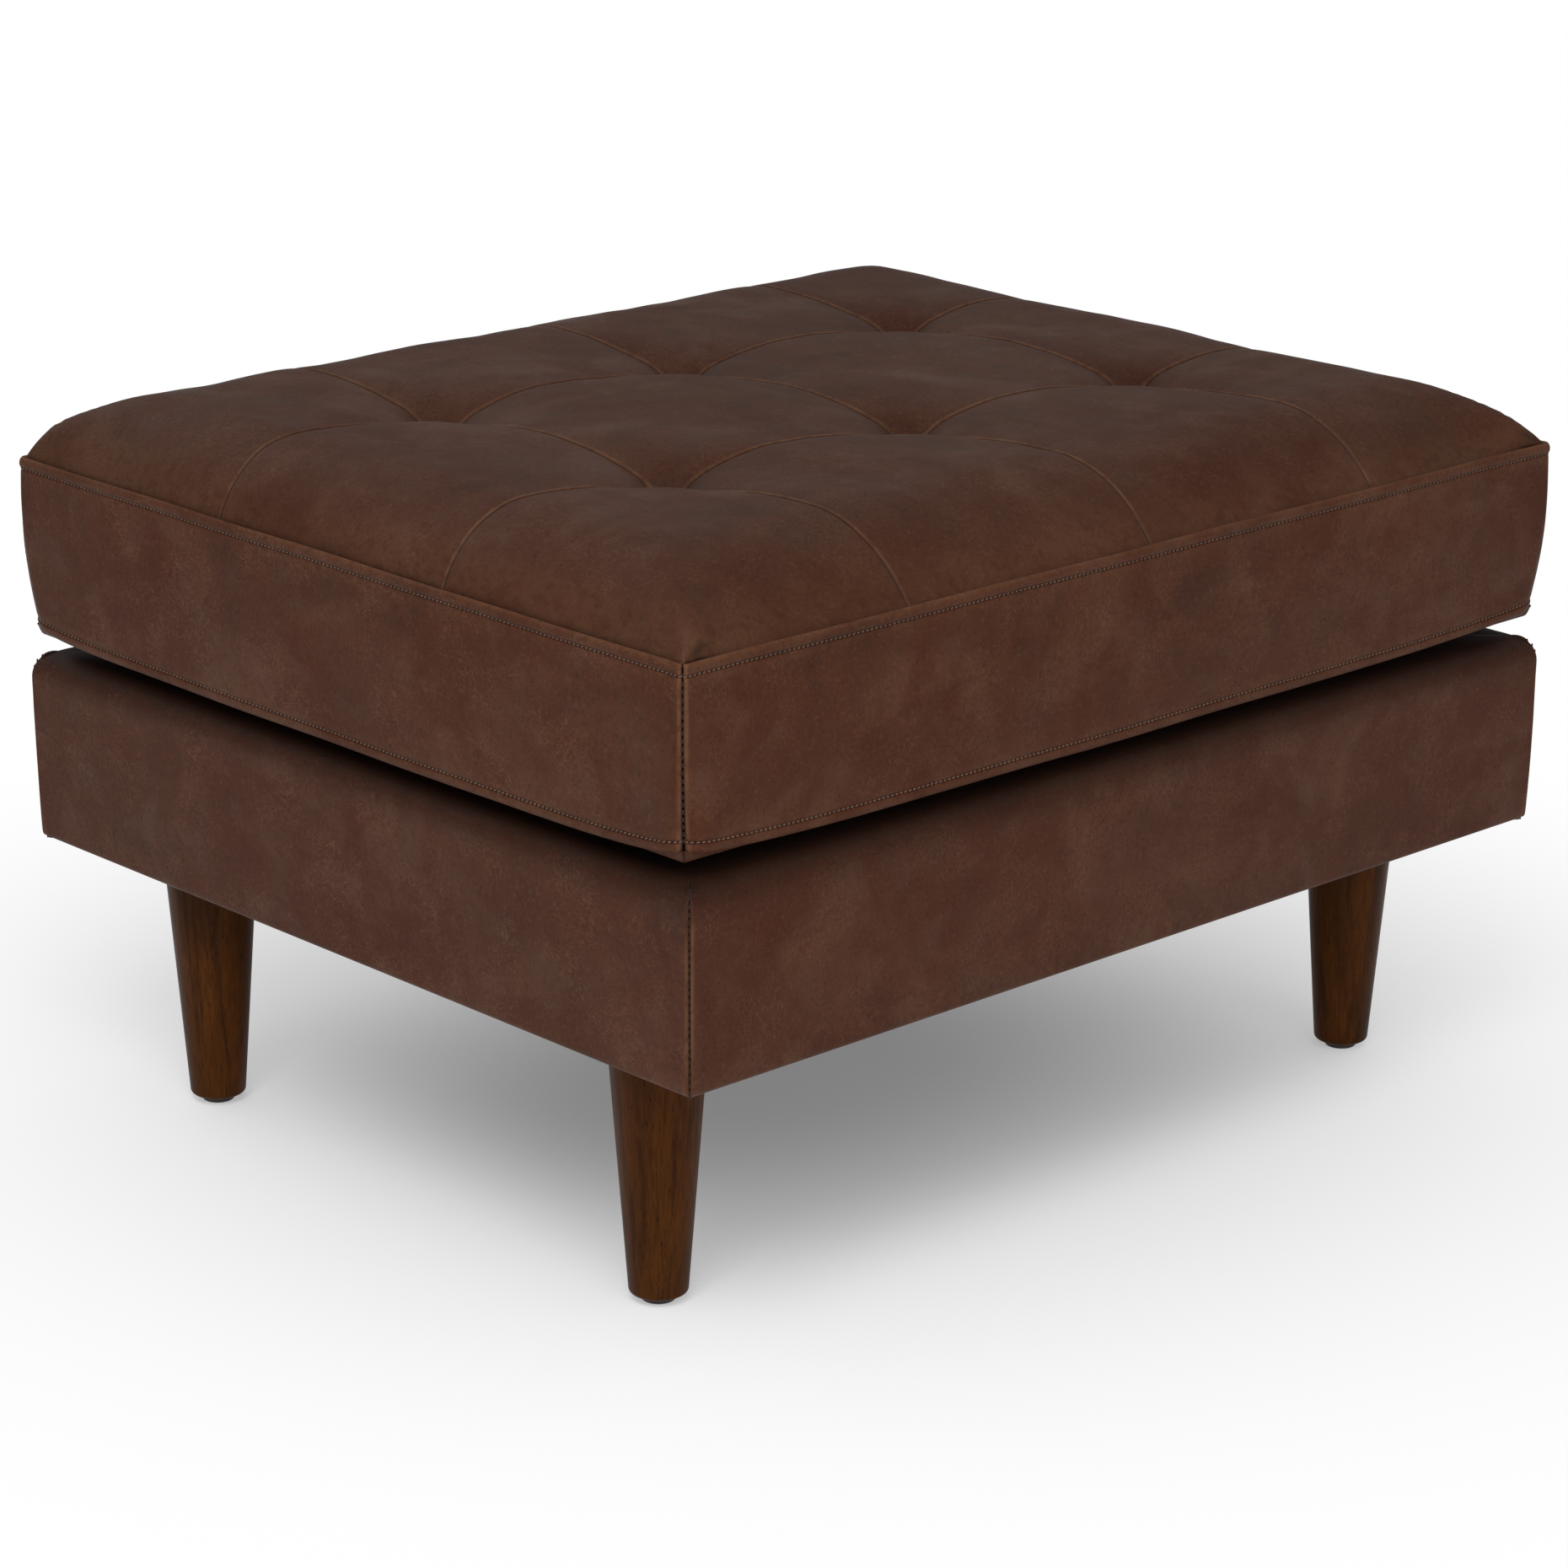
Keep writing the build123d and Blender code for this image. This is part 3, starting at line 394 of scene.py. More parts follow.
def leather(name, offset, rough=0.52, sewn=False, shade=1.0):
    """Dark brown waxed leather. The offset gives each cut of hide its own look; the shade darkens all its
    colours, which on the top is painted shade, as the top takes more light than the sides.
    """
    material, tree, shader, place = new_material(
        name, offset, Specular_IOR_Level=0.11, Sheen_Weight=0.02, Sheen_Roughness=0.5,
        Sheen_Tint=(0.95, 0.86, 0.80, 1.0))
    colours = {label: rgba(getattr(looks(), label.lower()), shade) for label in HIDE_COLOURS}
    clouds = use_group(tree, "Leather Clouds", Place=place, **colours)
    scratches = use_group(tree, "Leather Scratches", Place=place)["Mask"]
    grain = use_group(tree, "Leather Grain", Place=place, Scale=820.0)["Height"]
    wear = use_group(tree, "Seam Wear", Place=place, Wear=tree.at_vertices("wear"))["Mask"]
    # Painted shade: the crease value darkens seam grooves, stitch holes, tuft valleys and the base under the
    # cushion towards near-black.
    crease = tree.at_vertices("crease")
    if sewn:
        steps, across = tree.at_vertices("steps"), tree.at_vertices("across")
        crease = tree.highest(crease, use_group(tree, "Stitch Holes", Steps=steps, Across=across)["Mask"])
    tone = tree.tint(clouds["Color"], (scratches, 0.55, colours["Pale"]), (wear, 0.92, colours["Pale"]),
                     (crease, 0.92, PAINTED_SHADE_COLOUR))
    gloss = tree.scaled(clouds["Rub"], -0.10, rough + 0.06)
    folds = tree.scaled(tree.noise(place, 85.0, 3.0, 0.6, 1.6), 1.2, grain)
    finish(tree, shader, tone, gloss, tree.scaled(scratches, -0.35, folds), 0.22, 0.6 * MM)
    return material


def thread(name, tint, lighter):
    """Twisted thread."""
    material, tree, shader, place = new_material(name, Specular_IOR_Level=0.3, Sheen_Weight=0.04)
    patches = tree.noise(place, 60.0)
    twist = tree.noise(tree.stretch(place, turn=(0.8, 0.8, 0.8)), 2400.0, 2.0)
    tone = tree.mix(tree.ramp(patches, 0.35, 0.7), rgba(tint), rgba(lighter))
    finish(tree, shader, tone, tree.scaled(patches, 0.2, 0.55), twist, 0.5, 0.2 * MM)
    return material


def stained_wood(name, offset):
    """Walnut-stained wood with upright grain and short dark pores."""
    material, tree, shader, place = new_material(name, offset, Specular_IOR_Level=0.06)
    drift, band, fibre, pores = (
        tree.noise(tree.stretch(place, (1.0, 1.0, upright)), *noise) for upright, *noise in (
            (0.12, 26.0, 3.0, 0.5, 0.8), (0.05, 150.0, 4.0, 0.6, 0.5), (0.035, 900.0, 3.0, 0.6),
            (0.09, 1500.0, 1.0, 0.4)))
    dark = rgba(looks().wood_dark)
    holes = tree.ramp(pores, 0.66, 0.72)
    tone = tree.mix(tree.ramp(drift, 0.35, 0.68), rgba(looks().wood), rgba(looks().wood, 1.75))
    tone = tree.tint(tone, (tree.ramp(band, 0.45, 0.68), 0.55, dark),
                     (tree.ramp(fibre, 0.40, 0.66), 0.38, dark), (holes, 0.8, dark))
    height = tree.math("SUBTRACT", tree.times(fibre, 0.4), holes)
    finish(tree, shader, tone, tree.scaled(fibre, 0.16, 0.34), height, 0.25, 0.3 * MM)
    return material


def plain_wood(name, tint, grain_axis):
    """Sawn frame timber or plywood."""
    material, tree, shader, place = new_material(name)
    scale = [1.0, 1.0, 1.0]
    scale[grain_axis] = 0.06
    rings = tree.noise(tree.stretch(place, scale), 120.0, 5.0, 0.6, 0.6)
    tone = tree.mix(tree.ramp(rings, 0.35, 0.7), rgba(tint), rgba(tint, 0.6))
    finish(tree, shader, tone, tree.scaled(rings, 0.2, 0.6), rings, 0.2, 0.4 * MM)
    return material


def cloth(name, tint, scale, fuzz=0.0):
    """Woven or spunbonded cloth."""
    material, tree, shader, place = new_material(name, Specular_IOR_Level=0.25, Sheen_Weight=0.15)
    weave = use_group(tree, "Plain Weave", Place=place, Scale=scale)
    mottle = tree.noise(place, 40.0, 4.0)
    tone = tree.tint(rgba(tint, 0.45), (weave["Mask"], 0.6, rgba(tint)),
                     (tree.ramp(mottle, 0.4, 0.7), 0.4, rgba(tint, 1.5)))
    height = tree.scaled(tree.noise(place, 700.0), fuzz, weave["Height"])
    finish(tree, shader, tone, tree.scaled(mottle, 0.15, 0.8), height, 0.4, 0.3 * MM)
    return material


def metal(name, tint, rough):
    """Plated steel or dull brass."""
    material, tree, shader, place = new_material(name, Metallic=1.0)
    smear = tree.noise(place, 220.0, 4.0, 0.6)
    tone = tree.mix(smear, rgba(tint, 0.7), rgba(tint))
    finish(tree, shader, tone, tree.scaled(smear, 0.2, rough), smear, 0.1, 0.2 * MM)
    return material


def moulded(name, tint):
    """Moulded plastic."""
    material, tree, shader, place = new_material(name)
    haze = tree.noise(place, 60.0)
    tone = tree.mix(haze, rgba(tint), rgba(tint, 1.6))
    finish(tree, shader, tone, tree.scaled(haze, 0.2, 0.45), tree.noise(place, 1400.0), 0.15, 0.2 * MM)
    return material


# Mesh helpers

def link_object(name, data):
    """A new object in the scene."""
    piece = bpy.data.objects.new(name, data)
    bpy.context.scene.collection.objects.link(piece)
    return piece


def surface(name, points, values=None):
    """A smooth quad mesh over a grid of points, with named values at its vertices."""
    rows, columns = points.shape[:2]
    index = np.arange(rows * columns).reshape(rows, columns)
    faces = np.stack([index[:-1, :-1], index[:-1, 1:], index[1:, 1:], index[1:, :-1]], axis=-1)
    mesh = bpy.data.meshes.new(name)
    mesh.from_pydata(points.reshape(-1, 3).tolist(), [], faces.reshape(-1, 4).tolist())
    for label, grid in (values or {}).items():
        attribute = mesh.attributes.new(label, "FLOAT", "POINT")
        attribute.data.foreach_set("value", np.ascontiguousarray(grid, dtype=np.float32).ravel())
    mesh.shade_smooth()
    return link_object(name, mesh)


def edit(mesh, change):
    """Changes a mesh with a function of its bmesh."""
    work = bmesh.new()
    work.from_mesh(mesh)
    change(work)
    work.to_mesh(mesh)
    work.free()
    mesh.shade_smooth()


def set_material(data, material):
    """Makes a material the only one of a mesh."""
    data.materials.clear()
    data.materials.append(material)


def dress(piece, body, material, replaces=()):
    """Gives a piece its material and its body, and hides the nodes that it stands for."""
    set_material(piece.data, material)
    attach(piece, body)
    if replaces:
        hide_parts(*replaces)


def paint(names, material):
    """Gives kept frame nodes their material."""
    for name in names:
        set_material(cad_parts[name].data, material)


def thicken(piece, thickness):
    """Makes a skin a closed sheet of leather or cloth."""
    solid = piece.modifiers.new("Thickness", "SOLIDIFY")
    solid.thickness = thickness
    solid.offset = -1.0


def soften(piece):
    """Rounds a modelled surface."""
    smooth = piece.modifiers.new("Smooth", "SUBSURF")
    smooth.levels = 1
    smooth.render_levels = 1


NEAR_SEAM = tuple(v * MM for v in (0, 0.35, 0.7, 1.05, 1.4, 1.8, 2.3, 3.0, 4.0, 5.5, 7.5))
NEAR_EDGE = tuple(v * MM for v in (0.4, 0.9, 1.5, 2.2, 2.9, 3.6, 4.3, 5.0, 5.7, 6.5, 7.5, 9.5))


def spaced(half, step, creases, near):
    """Places from one edge of a panel to the other, closer together beside its creases and edges."""
    values = set(np.linspace(-half, half, int(round(2 * half / step)) + 1).round(6))
    for crease in creases:
        for gap in near:
            values.update(v for v in (round(crease - gap, 6), round(crease + gap, 6)) if abs(v) <= half)
    return np.union1d(sorted(values), [side * (half - gap) for gap in NEAR_EDGE for side in (-1, 1)])


RIPPLE_WAVES = 9


def ripple(x, y, wave, seed):
    """Smooth random swell from about -1 to 1, the same each run."""
    random = np.random.default_rng(seed)
    total = np.zeros(np.broadcast(x, y).shape)
    for _ in range(RIPPLE_WAVES):
        heading = random.uniform(0, 2 * pi)
        size = 2 * pi / (wave * random.uniform(0.7, 1.7))
        total = total + np.sin(size * (x * cos(heading) + y * sin(heading)) + random.uniform(0, 2 * pi))
    return total / (RIPPLE_WAVES / 2)


def bell(distance, width):
    """Soft peak of height 1."""
    return np.exp(-(distance / width) ** 2)


def share_of(value):
    """A value kept between 0 and 1."""
    return np.clip(value, 0, 1)


# The cushion's top

SHOULDER_RUN = 0.30  # of a crest's way from its tuft, the steep part
SHOULDER_DROP = 0.29  # of a crest's full fall, what the gentle part falls
CREST_SHARE = 0.98  # of the CAD's rise, because the seams and the swell add to it
TOP_STEP = 4.5 * MM
SEAM_GROOVE, SEAM_WIDTH = 1.5 * MM, 0.5 * MM  # depth and half width of the sewn groove
SEAM_LIP, LIP_REACH = 0.55 * MM, 6.5 * MM  # height and reach of the side that stands up
SEAM_SINK, SINK_REACH = 0.9 * MM, 4.5 * MM  # depth and reach of the hollow on both sides
PLEAT_START, PLEAT_END = 7 * MM, 29 * MM  # along a corner pleat, from the side of the cushion
PLEAT_RISE, PLEAT_FADE = 5 * MM, 12 * MM
PLEAT_INSET, PLEAT_VARIES = 4.9 * MM, 0.3 * MM  # from the front or back, and more at each next corner
PLEAT_SLOPE = 0.14
EDGE_DROP = 1.2 * MM  # the top's sewn edge below the border's fold


def roll_height(run, rise, distance):
    """Height of an arc that climbs from the border and is level where its run ends."""
    radius = (run ** 2 + rise ** 2) / (2 * rise)
    short = run - np.clip(distance, 0, run)
    return rise - radius + np.sqrt(radius ** 2 - short ** 2)


def dip(share):
    """How far a crest has fallen, of its full fall, at a share of the way from the tuft."""
    slope = 2 * SHOULDER_DROP / (1 - SHOULDER_RUN)
    short = np.maximum(SHOULDER_RUN - share, 0)
    bend = (1 - SHOULDER_DROP - slope * SHOULDER_RUN) / SHOULDER_RUN ** 2
    steep = SHOULDER_DROP + slope * short + bend * short ** 2
    gentle = SHOULDER_DROP * ((1 - share) / (1 - SHOULDER_RUN)) ** 2
    return np.where(share > SHOULDER_RUN, gentle, steep)


def top_height(sizes, x, y):
    """Height of the tufted top above the upper seam."""
    half_width = sizes.half_width - sizes.edge_inset
    half_depth = sizes.half_depth - sizes.edge_inset
    fuller = 1 - sizes.tilt * x / half_width
    rise, seam = CREST_SHARE * sizes.pillow_rise * fuller, sizes.seam_rise * fuller
    side_run = sizes.side_roll * (1 + 2.5 * sizes.tilt * x / half_width)
    across = np.abs(x)
    inner = np.abs(across - tuft_column * np.round(across / tuft_column)) / (tuft_column / 2)
    outer = (across - tuft_column) / (half_width - side_run - tuft_column)
    fall = dip(share_of(np.where(across > tuft_column, outer, inner)))
    lift = roll_height(side_run, rise, half_width - across) / rise
    ridge = np.maximum((rise - (rise - seam) * fall) * lift, 0.1 * MM)
    valley = (seam - (seam - sizes.tuft_rise) * fall) * lift
    front_run = np.maximum(sizes.front_roll * (ridge / rise) ** 2, ridge)
    along = np.abs(y)
    crest_y = half_depth - front_run
    outer = (along - tuft_row) / (crest_y - tuft_row)
    inner = (tuft_row - along) / tuft_row
    fall = dip(share_of(np.where(along > tuft_row, outer, inner)))
    plateau = ridge - (ridge - valley) * fall
    return np.where(along > crest_y, roll_height(front_run, ridge, half_depth - along), plateau)


def seam_marks(distance):
    """Height, wear and painted groove shade beside one sewn line. One side of it stands up as a lip."""
    crease = 0.8 * bell(distance + 0.2 * MM, SEAM_WIDTH)
    lip = 1 / (1 + np.exp(-np.clip(distance / (0.25 * MM), -60, 60)))
    raised = lip * np.exp(-np.abs(distance) / LIP_REACH)
    sunk = np.exp(-np.abs(distance) / SINK_REACH)
    height = -SEAM_GROOVE * crease + SEAM_LIP * raised - SEAM_SINK * sunk
    return height, share_of(1.3 * bell(distance - 1.2 * MM, 0.85 * MM)), crease


def pleat_marks(inwards_x, inwards_y, inset):
    """Height, wear and painted shade in the gap of the small pleat beside one corner."""
    along = inwards_x - PLEAT_START
    beside = inwards_y - inset - PLEAT_SLOPE * along
    reach = share_of(along / PLEAT_RISE) * share_of((PLEAT_END - inwards_x) / PLEAT_FADE)
    fold, gap = bell(beside, 1.2 * MM), bell(beside + 2 * MM, 1.0 * MM)
    height = reach * (0.6 * MM * fold - 0.7 * MM * gap)
    wear = 0.85 * reach * bell(beside, 0.9 * MM)
    return height, wear, 0.6 * reach * bell(beside + 1.9 * MM, 0.8 * MM)


def top_surface(sizes, x, y):
    """Height of the sewn top with its seams and pleats, its wear values, and its crease values of painted
    shade.
    """
    height = top_height(sizes, x, y)
    wear = np.zeros(height.shape)
    crease = np.zeros(height.shape)
    marks = [seam_marks(x - line) for line in CROSS_SEAMS] + [seam_marks(y - line) for line in LONG_SEAMS]
    for number, (left, front) in enumerate(((-1, -1), (1, -1), (1, 1), (-1, 1))):
        marks.append(pleat_marks(sizes.half_width - left * x, sizes.half_depth - front * y,
                                 PLEAT_INSET + number * PLEAT_VARIES))
    for lift, worn, dark in marks:
        height = height + lift
        wear = np.maximum(wear, worn)
        crease = np.maximum(crease, dark)
    inside = np.minimum(sizes.half_width - np.abs(x), sizes.half_depth - np.abs(y))
    # Painted shade: the deeper a tuft valley lies, the darker its crease value.
    depth = share_of(1 - (height - sizes.tuft_rise) / (sizes.pillow_rise - sizes.tuft_rise))
    crease = np.maximum(crease, 0.55 * depth ** 1.3 * share_of((inside - 50 * MM) / (40 * MM)))
    swell = 0.9 * MM * ripple(x, y, 0.11, 3) + 0.25 * MM * ripple(x, y, 0.035, 8)
    return height + share_of(inside / (40 * MM)) * swell, wear, crease


class OTTOMAN_OT_cushion_top(bpy.types.Operator):
    """Tufted top of the loose cushion, twelve sewn panels"""

    bl_idname = "ottoman.cushion_top"
    bl_label = "Cushion top"

    def execute(self, context):
        sizes = context.scene.ottoman_cushion
        half_width = sizes.half_width - sizes.edge_inset
        half_depth = sizes.half_depth - sizes.edge_inset
        x, y = np.meshgrid(spaced(half_width, TOP_STEP, CROSS_SEAMS, NEAR_SEAM),
                           spaced(half_depth, TOP_STEP, LONG_SEAMS, NEAR_SEAM))
        height, wear, crease = top_surface(sizes, x, y)
        edge = np.minimum(half_width - np.abs(x), half_depth - np.abs(y))
        # Painted shade in the crevice along the top's sewn edge.
        crease = np.maximum(crease, 0.30 * bell(edge, 0.8 * MM))
        # Wear and painted light: the top is lightened within about 17 mm of its edge, rubbed there and also
        # lit like the borders beside it.
        wear = np.maximum(wear, 0.42 * bell(edge, 17 * MM))
        points = np.stack([x, y, sizes.upper_seam - EDGE_DROP + height], axis=-1)
        piece = surface("cushion_top", points, {"wear": wear, "crease": crease})
        thicken(piece, sizes.leather)
        # Painted shade: the top's colours are darkened to 0.78, as it takes more light than the borders.
        material = leather("top leather", (0.0, 0.0, 0.0), 0.48, shade=0.78)
        dress(piece, "cushion", material,
              ("cushion_top_panels", "fibre_wrap_top", "fibre_wrap_bottom", "foam_core"))
        return {"FINISHED"}


# Upright sides: the cushion's borders and the base's covers

CORNER_STEPS = 7
SHARPEST_CORNER = 0.35 * MM
CORNER_GROOVE, CORNER_LIP = 1.0 * MM, 0.45 * MM
COARSE_STEP = 40 * MM  # for a grid of which only the corner seam is used


def band_grid(half_long, half_deep, rows, step):
    """Plan places of one front-facing side that is mitred and rounded at its corners.

    Each row is (outwards, height, corner radius). Gives points, outward directions, the place along the side
    and the distance from the nearer corner seam.
    """
    straight = np.linspace(-1, 1, int(2 * half_long / step) + 1)
    turn = np.linspace(0, pi / 4, CORNER_STEPS + 1)[1:]
    angle = np.concatenate([-turn[::-1], np.zeros(straight.shape), turn])
    out = np.column_stack([np.sin(angle), -np.cos(angle), np.zeros(len(angle))])
    points, places, corners = [], [], []
    for outward, height, radius in rows:
        round_ = max(radius + outward, SHARPEST_CORNER)
        flat = half_long + outward - round_
        face = -(half_deep + outward)
        arc_x = flat + round_ * np.sin(turn)
        arc_y = face + round_ * (1 - np.cos(turn))
        to_seam = round_ * (pi / 4 - turn)
        x = np.concatenate([-arc_x[::-1], straight * flat, arc_x])
        y = np.concatenate([arc_y[::-1], np.full(straight.shape, face), arc_y])
        points.append(np.column_stack([x, y, np.full(len(x), height)]))
        middle = flat - np.abs(straight * flat) + round_ * pi / 4
        corners.append(np.concatenate([to_seam[::-1], middle, to_seam]))
        places.append(x)
    return np.array(points), np.array([out] * len(rows)), np.array(places), np.array(corners)


def turned(points, side):
    """A front-facing side turned to its place."""
    angle = SIDES.index(side) * pi / 2
    rotation = np.array([[cos(angle), -sin(angle), 0], [sin(angle), cos(angle), 0], [0, 0, 1]])
    return points @ rotation.T


def side_halves(sizes, side):
    """Half length and half depth as one side sees them."""
    if side in ("front", "back"):
        return sizes.half_width, sizes.half_depth
    return sizes.half_depth, sizes.half_width


def side_surface(name, shaped, side, values):
    """The mesh of one side, turned to its place and facing outwards."""
    return surface(name, turned(shaped, side)[::-1], {label: grid[::-1] for label, grid in values.items()})


def corner_marks(distance):
    """Outward push, wear and painted groove shade beside an upright corner seam."""
    crease = bell(distance, 0.55 * MM)
    push = -CORNER_GROOVE * crease + CORNER_LIP * bell(distance - 2.3 * MM, 1.2 * MM)
    return push, 0.95 * bell(distance - 1.8 * MM, 1.2 * MM), 0.8 * crease


# Outwards and upwards in millimetres, from the upper seam and from the lower one

FOLD_PROFILE = (
    (-2.8, -1.6), (-2.6, -0.6), (-2.1, 0.3), (-1.4, 0.7), (-0.6, 0.5), (0.1, -0.2), (0.6, -1.4), (0.75, -2.8),
    (0.65, -4.0), (0.35, -5.0), (-0.25, -5.6), (-0.55, -6.0), (-0.30, -6.5), (0.0, -7.3), (0.15, -8.6))
FOLD_STITCH = 6.0  # the stitches' drop in this profile
HEM_PROFILE = (
    (0.15, 4.6), (0.0, 3.3), (-0.30, 2.5), (-0.55, 2.0), (-0.25, 1.6), (0.35, 1.0), (0.6, -0.2), (0.55, -1.6),
    (0.2, -3.0), (-0.6, -4.2), (-1.9, -5.0), (-3.6, -5.3), (-5.2, -5.2))
HEM_STITCH = 2.0  # the stitches' height in this profile
FLAT_MARGIN = 11 * MM  # the border's flat face ends this far from both seams
BORDER_SEAM = slice(8, -6)  # rows that the corner stitches of a border run over
BORDER_STEP = 5 * MM
BORDER_SEED = 20
CORNER_RADIUS, CORNER_GROWTH = 4.5 * MM, 17.0 * MM  # at the upper seam, and how much more at the lower one
BORDER_RIPPLE, BORDER_CRINKLE, SEAM_WANDER = 0.5 * MM, 0.12 * MM, 0.35 * MM
HEM_SAG = 1.6 * MM  # of the lower fold, midway between the corners


def border_rows(sizes):
    """Profile of a border from the crevice at its upper seam down to its lower seam."""
    top, low = sizes.upper_seam, sizes.lower_seam
    rows = [(o * MM, top + z * sizes.stitch_drop / FOLD_STITCH) for o, z in FOLD_PROFILE]
    flat_top, flat_low = top - FLAT_MARGIN, low + FLAT_MARGIN
    for share in np.linspace(0, 1, 17):
        swell = 0.2 * MM + 1.1 * MM * sin(pi * share)
        rows.append((swell, flat_top + (flat_low - flat_top) * share))
    return rows + [(o * MM, low + sizes.hem_rise + (z - HEM_STITCH) * MM) for o, z in HEM_PROFILE]


def topstitch_rows(sizes):
    """Outward place and height of the two rows of topstitching."""
    upper = (-0.25 * MM, sizes.upper_seam - sizes.stitch_drop)
    lower = (-0.15 * MM, sizes.lower_seam + sizes.hem_rise)
    return [upper, lower]


def border_level(sizes, height):
    """Where a height lies between the lower seam, 0, and the upper one, 1."""
    return share_of((height - sizes.lower_seam) / (sizes.upper_seam - sizes.lower_seam))


def border_mesh(sizes, side, rows, step):
    """Shaped grid of one border, with its wear and the painted shade of its corner grooves. Its corners are
    rounder towards the deck.
    """
    half_long, half_deep = side_halves(sizes, side)
    rounded = [(outward, height, CORNER_RADIUS + CORNER_GROWTH * (1 - border_level(sizes, height)) ** 2.6)
               for outward, height in rows]
    points, outs, places, corners = band_grid(half_long, half_deep, rounded, step)
    share = share_of(np.abs(places) / half_long)
    height = points[..., 2]
    level = border_level(sizes, height)
    middle = np.sin(pi * level)
    seed = BORDER_SEED + SIDES.index(side)
    mark, wear, crease = corner_marks(corners)
    push = sizes.bow * (1 - share ** 2) * (0.35 + 0.65 * middle)
    push = push + BORDER_RIPPLE * ripple(places, height, 0.09, seed) * middle
    push = push + BORDER_CRINKLE * ripple(places, height, 0.022, seed + 9) * (0.3 + middle) + mark
    shaped = points + outs * push[..., None]
    lift = (sizes.corner_lift * share ** 9 - HEM_SAG * (1 - share ** 2)) * (1 - level) ** 3
    wander = SEAM_WANDER * ripple(places, 0 * places, 0.16, seed + 4) * (level ** 6 + (1 - level) ** 6)
    shaped[..., 2] += lift + wander
    return shaped, wear, crease


def stitch_steps(line, pitch):
    """How many stitches lie before each point of a line."""
    lengths = np.linalg.norm(np.diff(line, axis=0), axis=1)
    travelled = np.concatenate([[0], np.cumsum(lengths)])
    return travelled * int(travelled[-1] / pitch) / travelled[-1]


class OTTOMAN_OT_cushion_borders(bpy.types.Operator):
    """Four upright leather borders of the cushion, folded and sewn at both edges"""

    bl_idname = "ottoman.cushion_borders"
    bl_label = "Cushion borders"

    def execute(self, context):
        sizes = context.scene.ottoman_cushion
        pitch = context.scene.ottoman_stitches.pitch
        for number, side in enumerate(SIDES):
            shaped, wear, crease = border_mesh(sizes, side, border_rows(sizes), BORDER_STEP)
            sewn = border_mesh(sizes, side, topstitch_rows(sizes), BORDER_STEP)[0]
            height = shaped[..., 2]
            offsets = height - sewn[:, None, :, 2]
            upper = np.abs(offsets[0]) < np.abs(offsets[1])
            across = np.where(upper, *offsets)
            steps = np.where(upper, *(stitch_steps(line, pitch) for line in sewn))
            fold = 0.40 * bell(height - sizes.upper_seam - 0.2 * MM, 1.6 * MM)
            strip = 0.16 * bell(np.abs(across) - 3.2 * MM, 2.2 * MM)
            wear = share_of(wear + fold + strip)
            values = {"wear": wear, "crease": crease, "steps": steps, "across": across}
            piece = side_surface(f"cushion_border_leather_{side}", shaped, side, values)
            thicken(piece, sizes.leather)
            soften(piece)
            offset = (0.9 + 0.37 * number, 0.3 * number, 0.21 * number)
            material = leather(f"border leather {side}", offset, 0.54, sewn=True)
            dress(piece, "cushion", material, (f"cushion_border_{side}",))
        return {"FINISHED"}


# The cushion's underside

UNDERSIDE_STEP = 9 * MM
UNDERSIDE_INSET = 4.9 * MM
SLOT_HALF = 4.2 * MM
BELLY_RUN = 58 * MM  # the belly is level from here inwards
SEAM_TUCK = 3.4 * MM  # the underside's edge below the lower seam


class OTTOMAN_OT_cushion_underside(bpy.types.Operator):
    """Underside of the cushion, slotted for its zip"""

    bl_idname = "ottoman.cushion_underside"
    bl_label = "Cushion underside"

    def execute(self, context):
        sizes = context.scene.ottoman_cushion
        half_width = sizes.half_width - UNDERSIDE_INSET
        half_depth = sizes.half_depth - UNDERSIDE_INSET
        middle = (coil_low.y + coil_high.y) / 2
        slot_low, slot_high = middle - SLOT_HALF, middle + SLOT_HALF
        x, y = np.meshgrid(spaced(half_width, UNDERSIDE_STEP, (coil_low.x, coil_high.x), (0,)),
                           spaced(half_depth, UNDERSIDE_STEP, (slot_low, slot_high), (0,)))
        inwards_x, inwards_y = half_width - np.abs(x), half_depth - np.abs(y)
        near = np.minimum(inwards_x, inwards_y)
        flat = belly_low.z + 0.1 * MM
        skirt = sizes.corner_lift * (np.abs(x) / half_width) ** 9 * (np.abs(y) / half_depth) ** 9
        edge = sizes.lower_seam - SEAM_TUCK
        height = flat + (edge - flat) * (1 - share_of(near / BELLY_RUN)) ** 2 + skirt * bell(near, 1.5 * MM)
        points = np.stack([x, y, height], axis=-1)
        # Painted shade along the diagonal folds at the belly's corners.
        crease = bell(np.abs(inwards_x - inwards_y), 1.0 * MM) * bell(near, 8.0 * MM)
        piece = surface("cushion_underside", points[:, ::-1], {"crease": crease[:, ::-1]})

        def cut_slot(work):
            places = [(face, face.calc_center_median()) for face in work.faces]
            slot = [face for face, at in places
                    if coil_low.x < at.x < coil_high.x and slot_low < at.y < slot_high]
            bmesh.ops.delete(work, geom=slot, context="FACES")

        edit(piece.data, cut_slot)
        thicken(piece, sizes.leather)
        dress(piece, "cushion", leather("underside leather", (2.7, 1.1, 0.4)),
              ("cushion_bottom_panel", "cushion_bottom_strip"))
        return {"FINISHED"}


# Stitches

STITCH_RINGS = ((-0.5, 0.12), (-0.38, 0.75), (0.0, 1.0), (0.38, 0.75), (0.5, 0.12))  # along, radius
STITCH_SIDES = 6
SKIN_LIFT = 0.15 * MM  # of topstitches above the leather
CORNER_OUT = 0.4 * MM  # of corner stitches, out of their groove
STITCH_SLANT = radians(10)


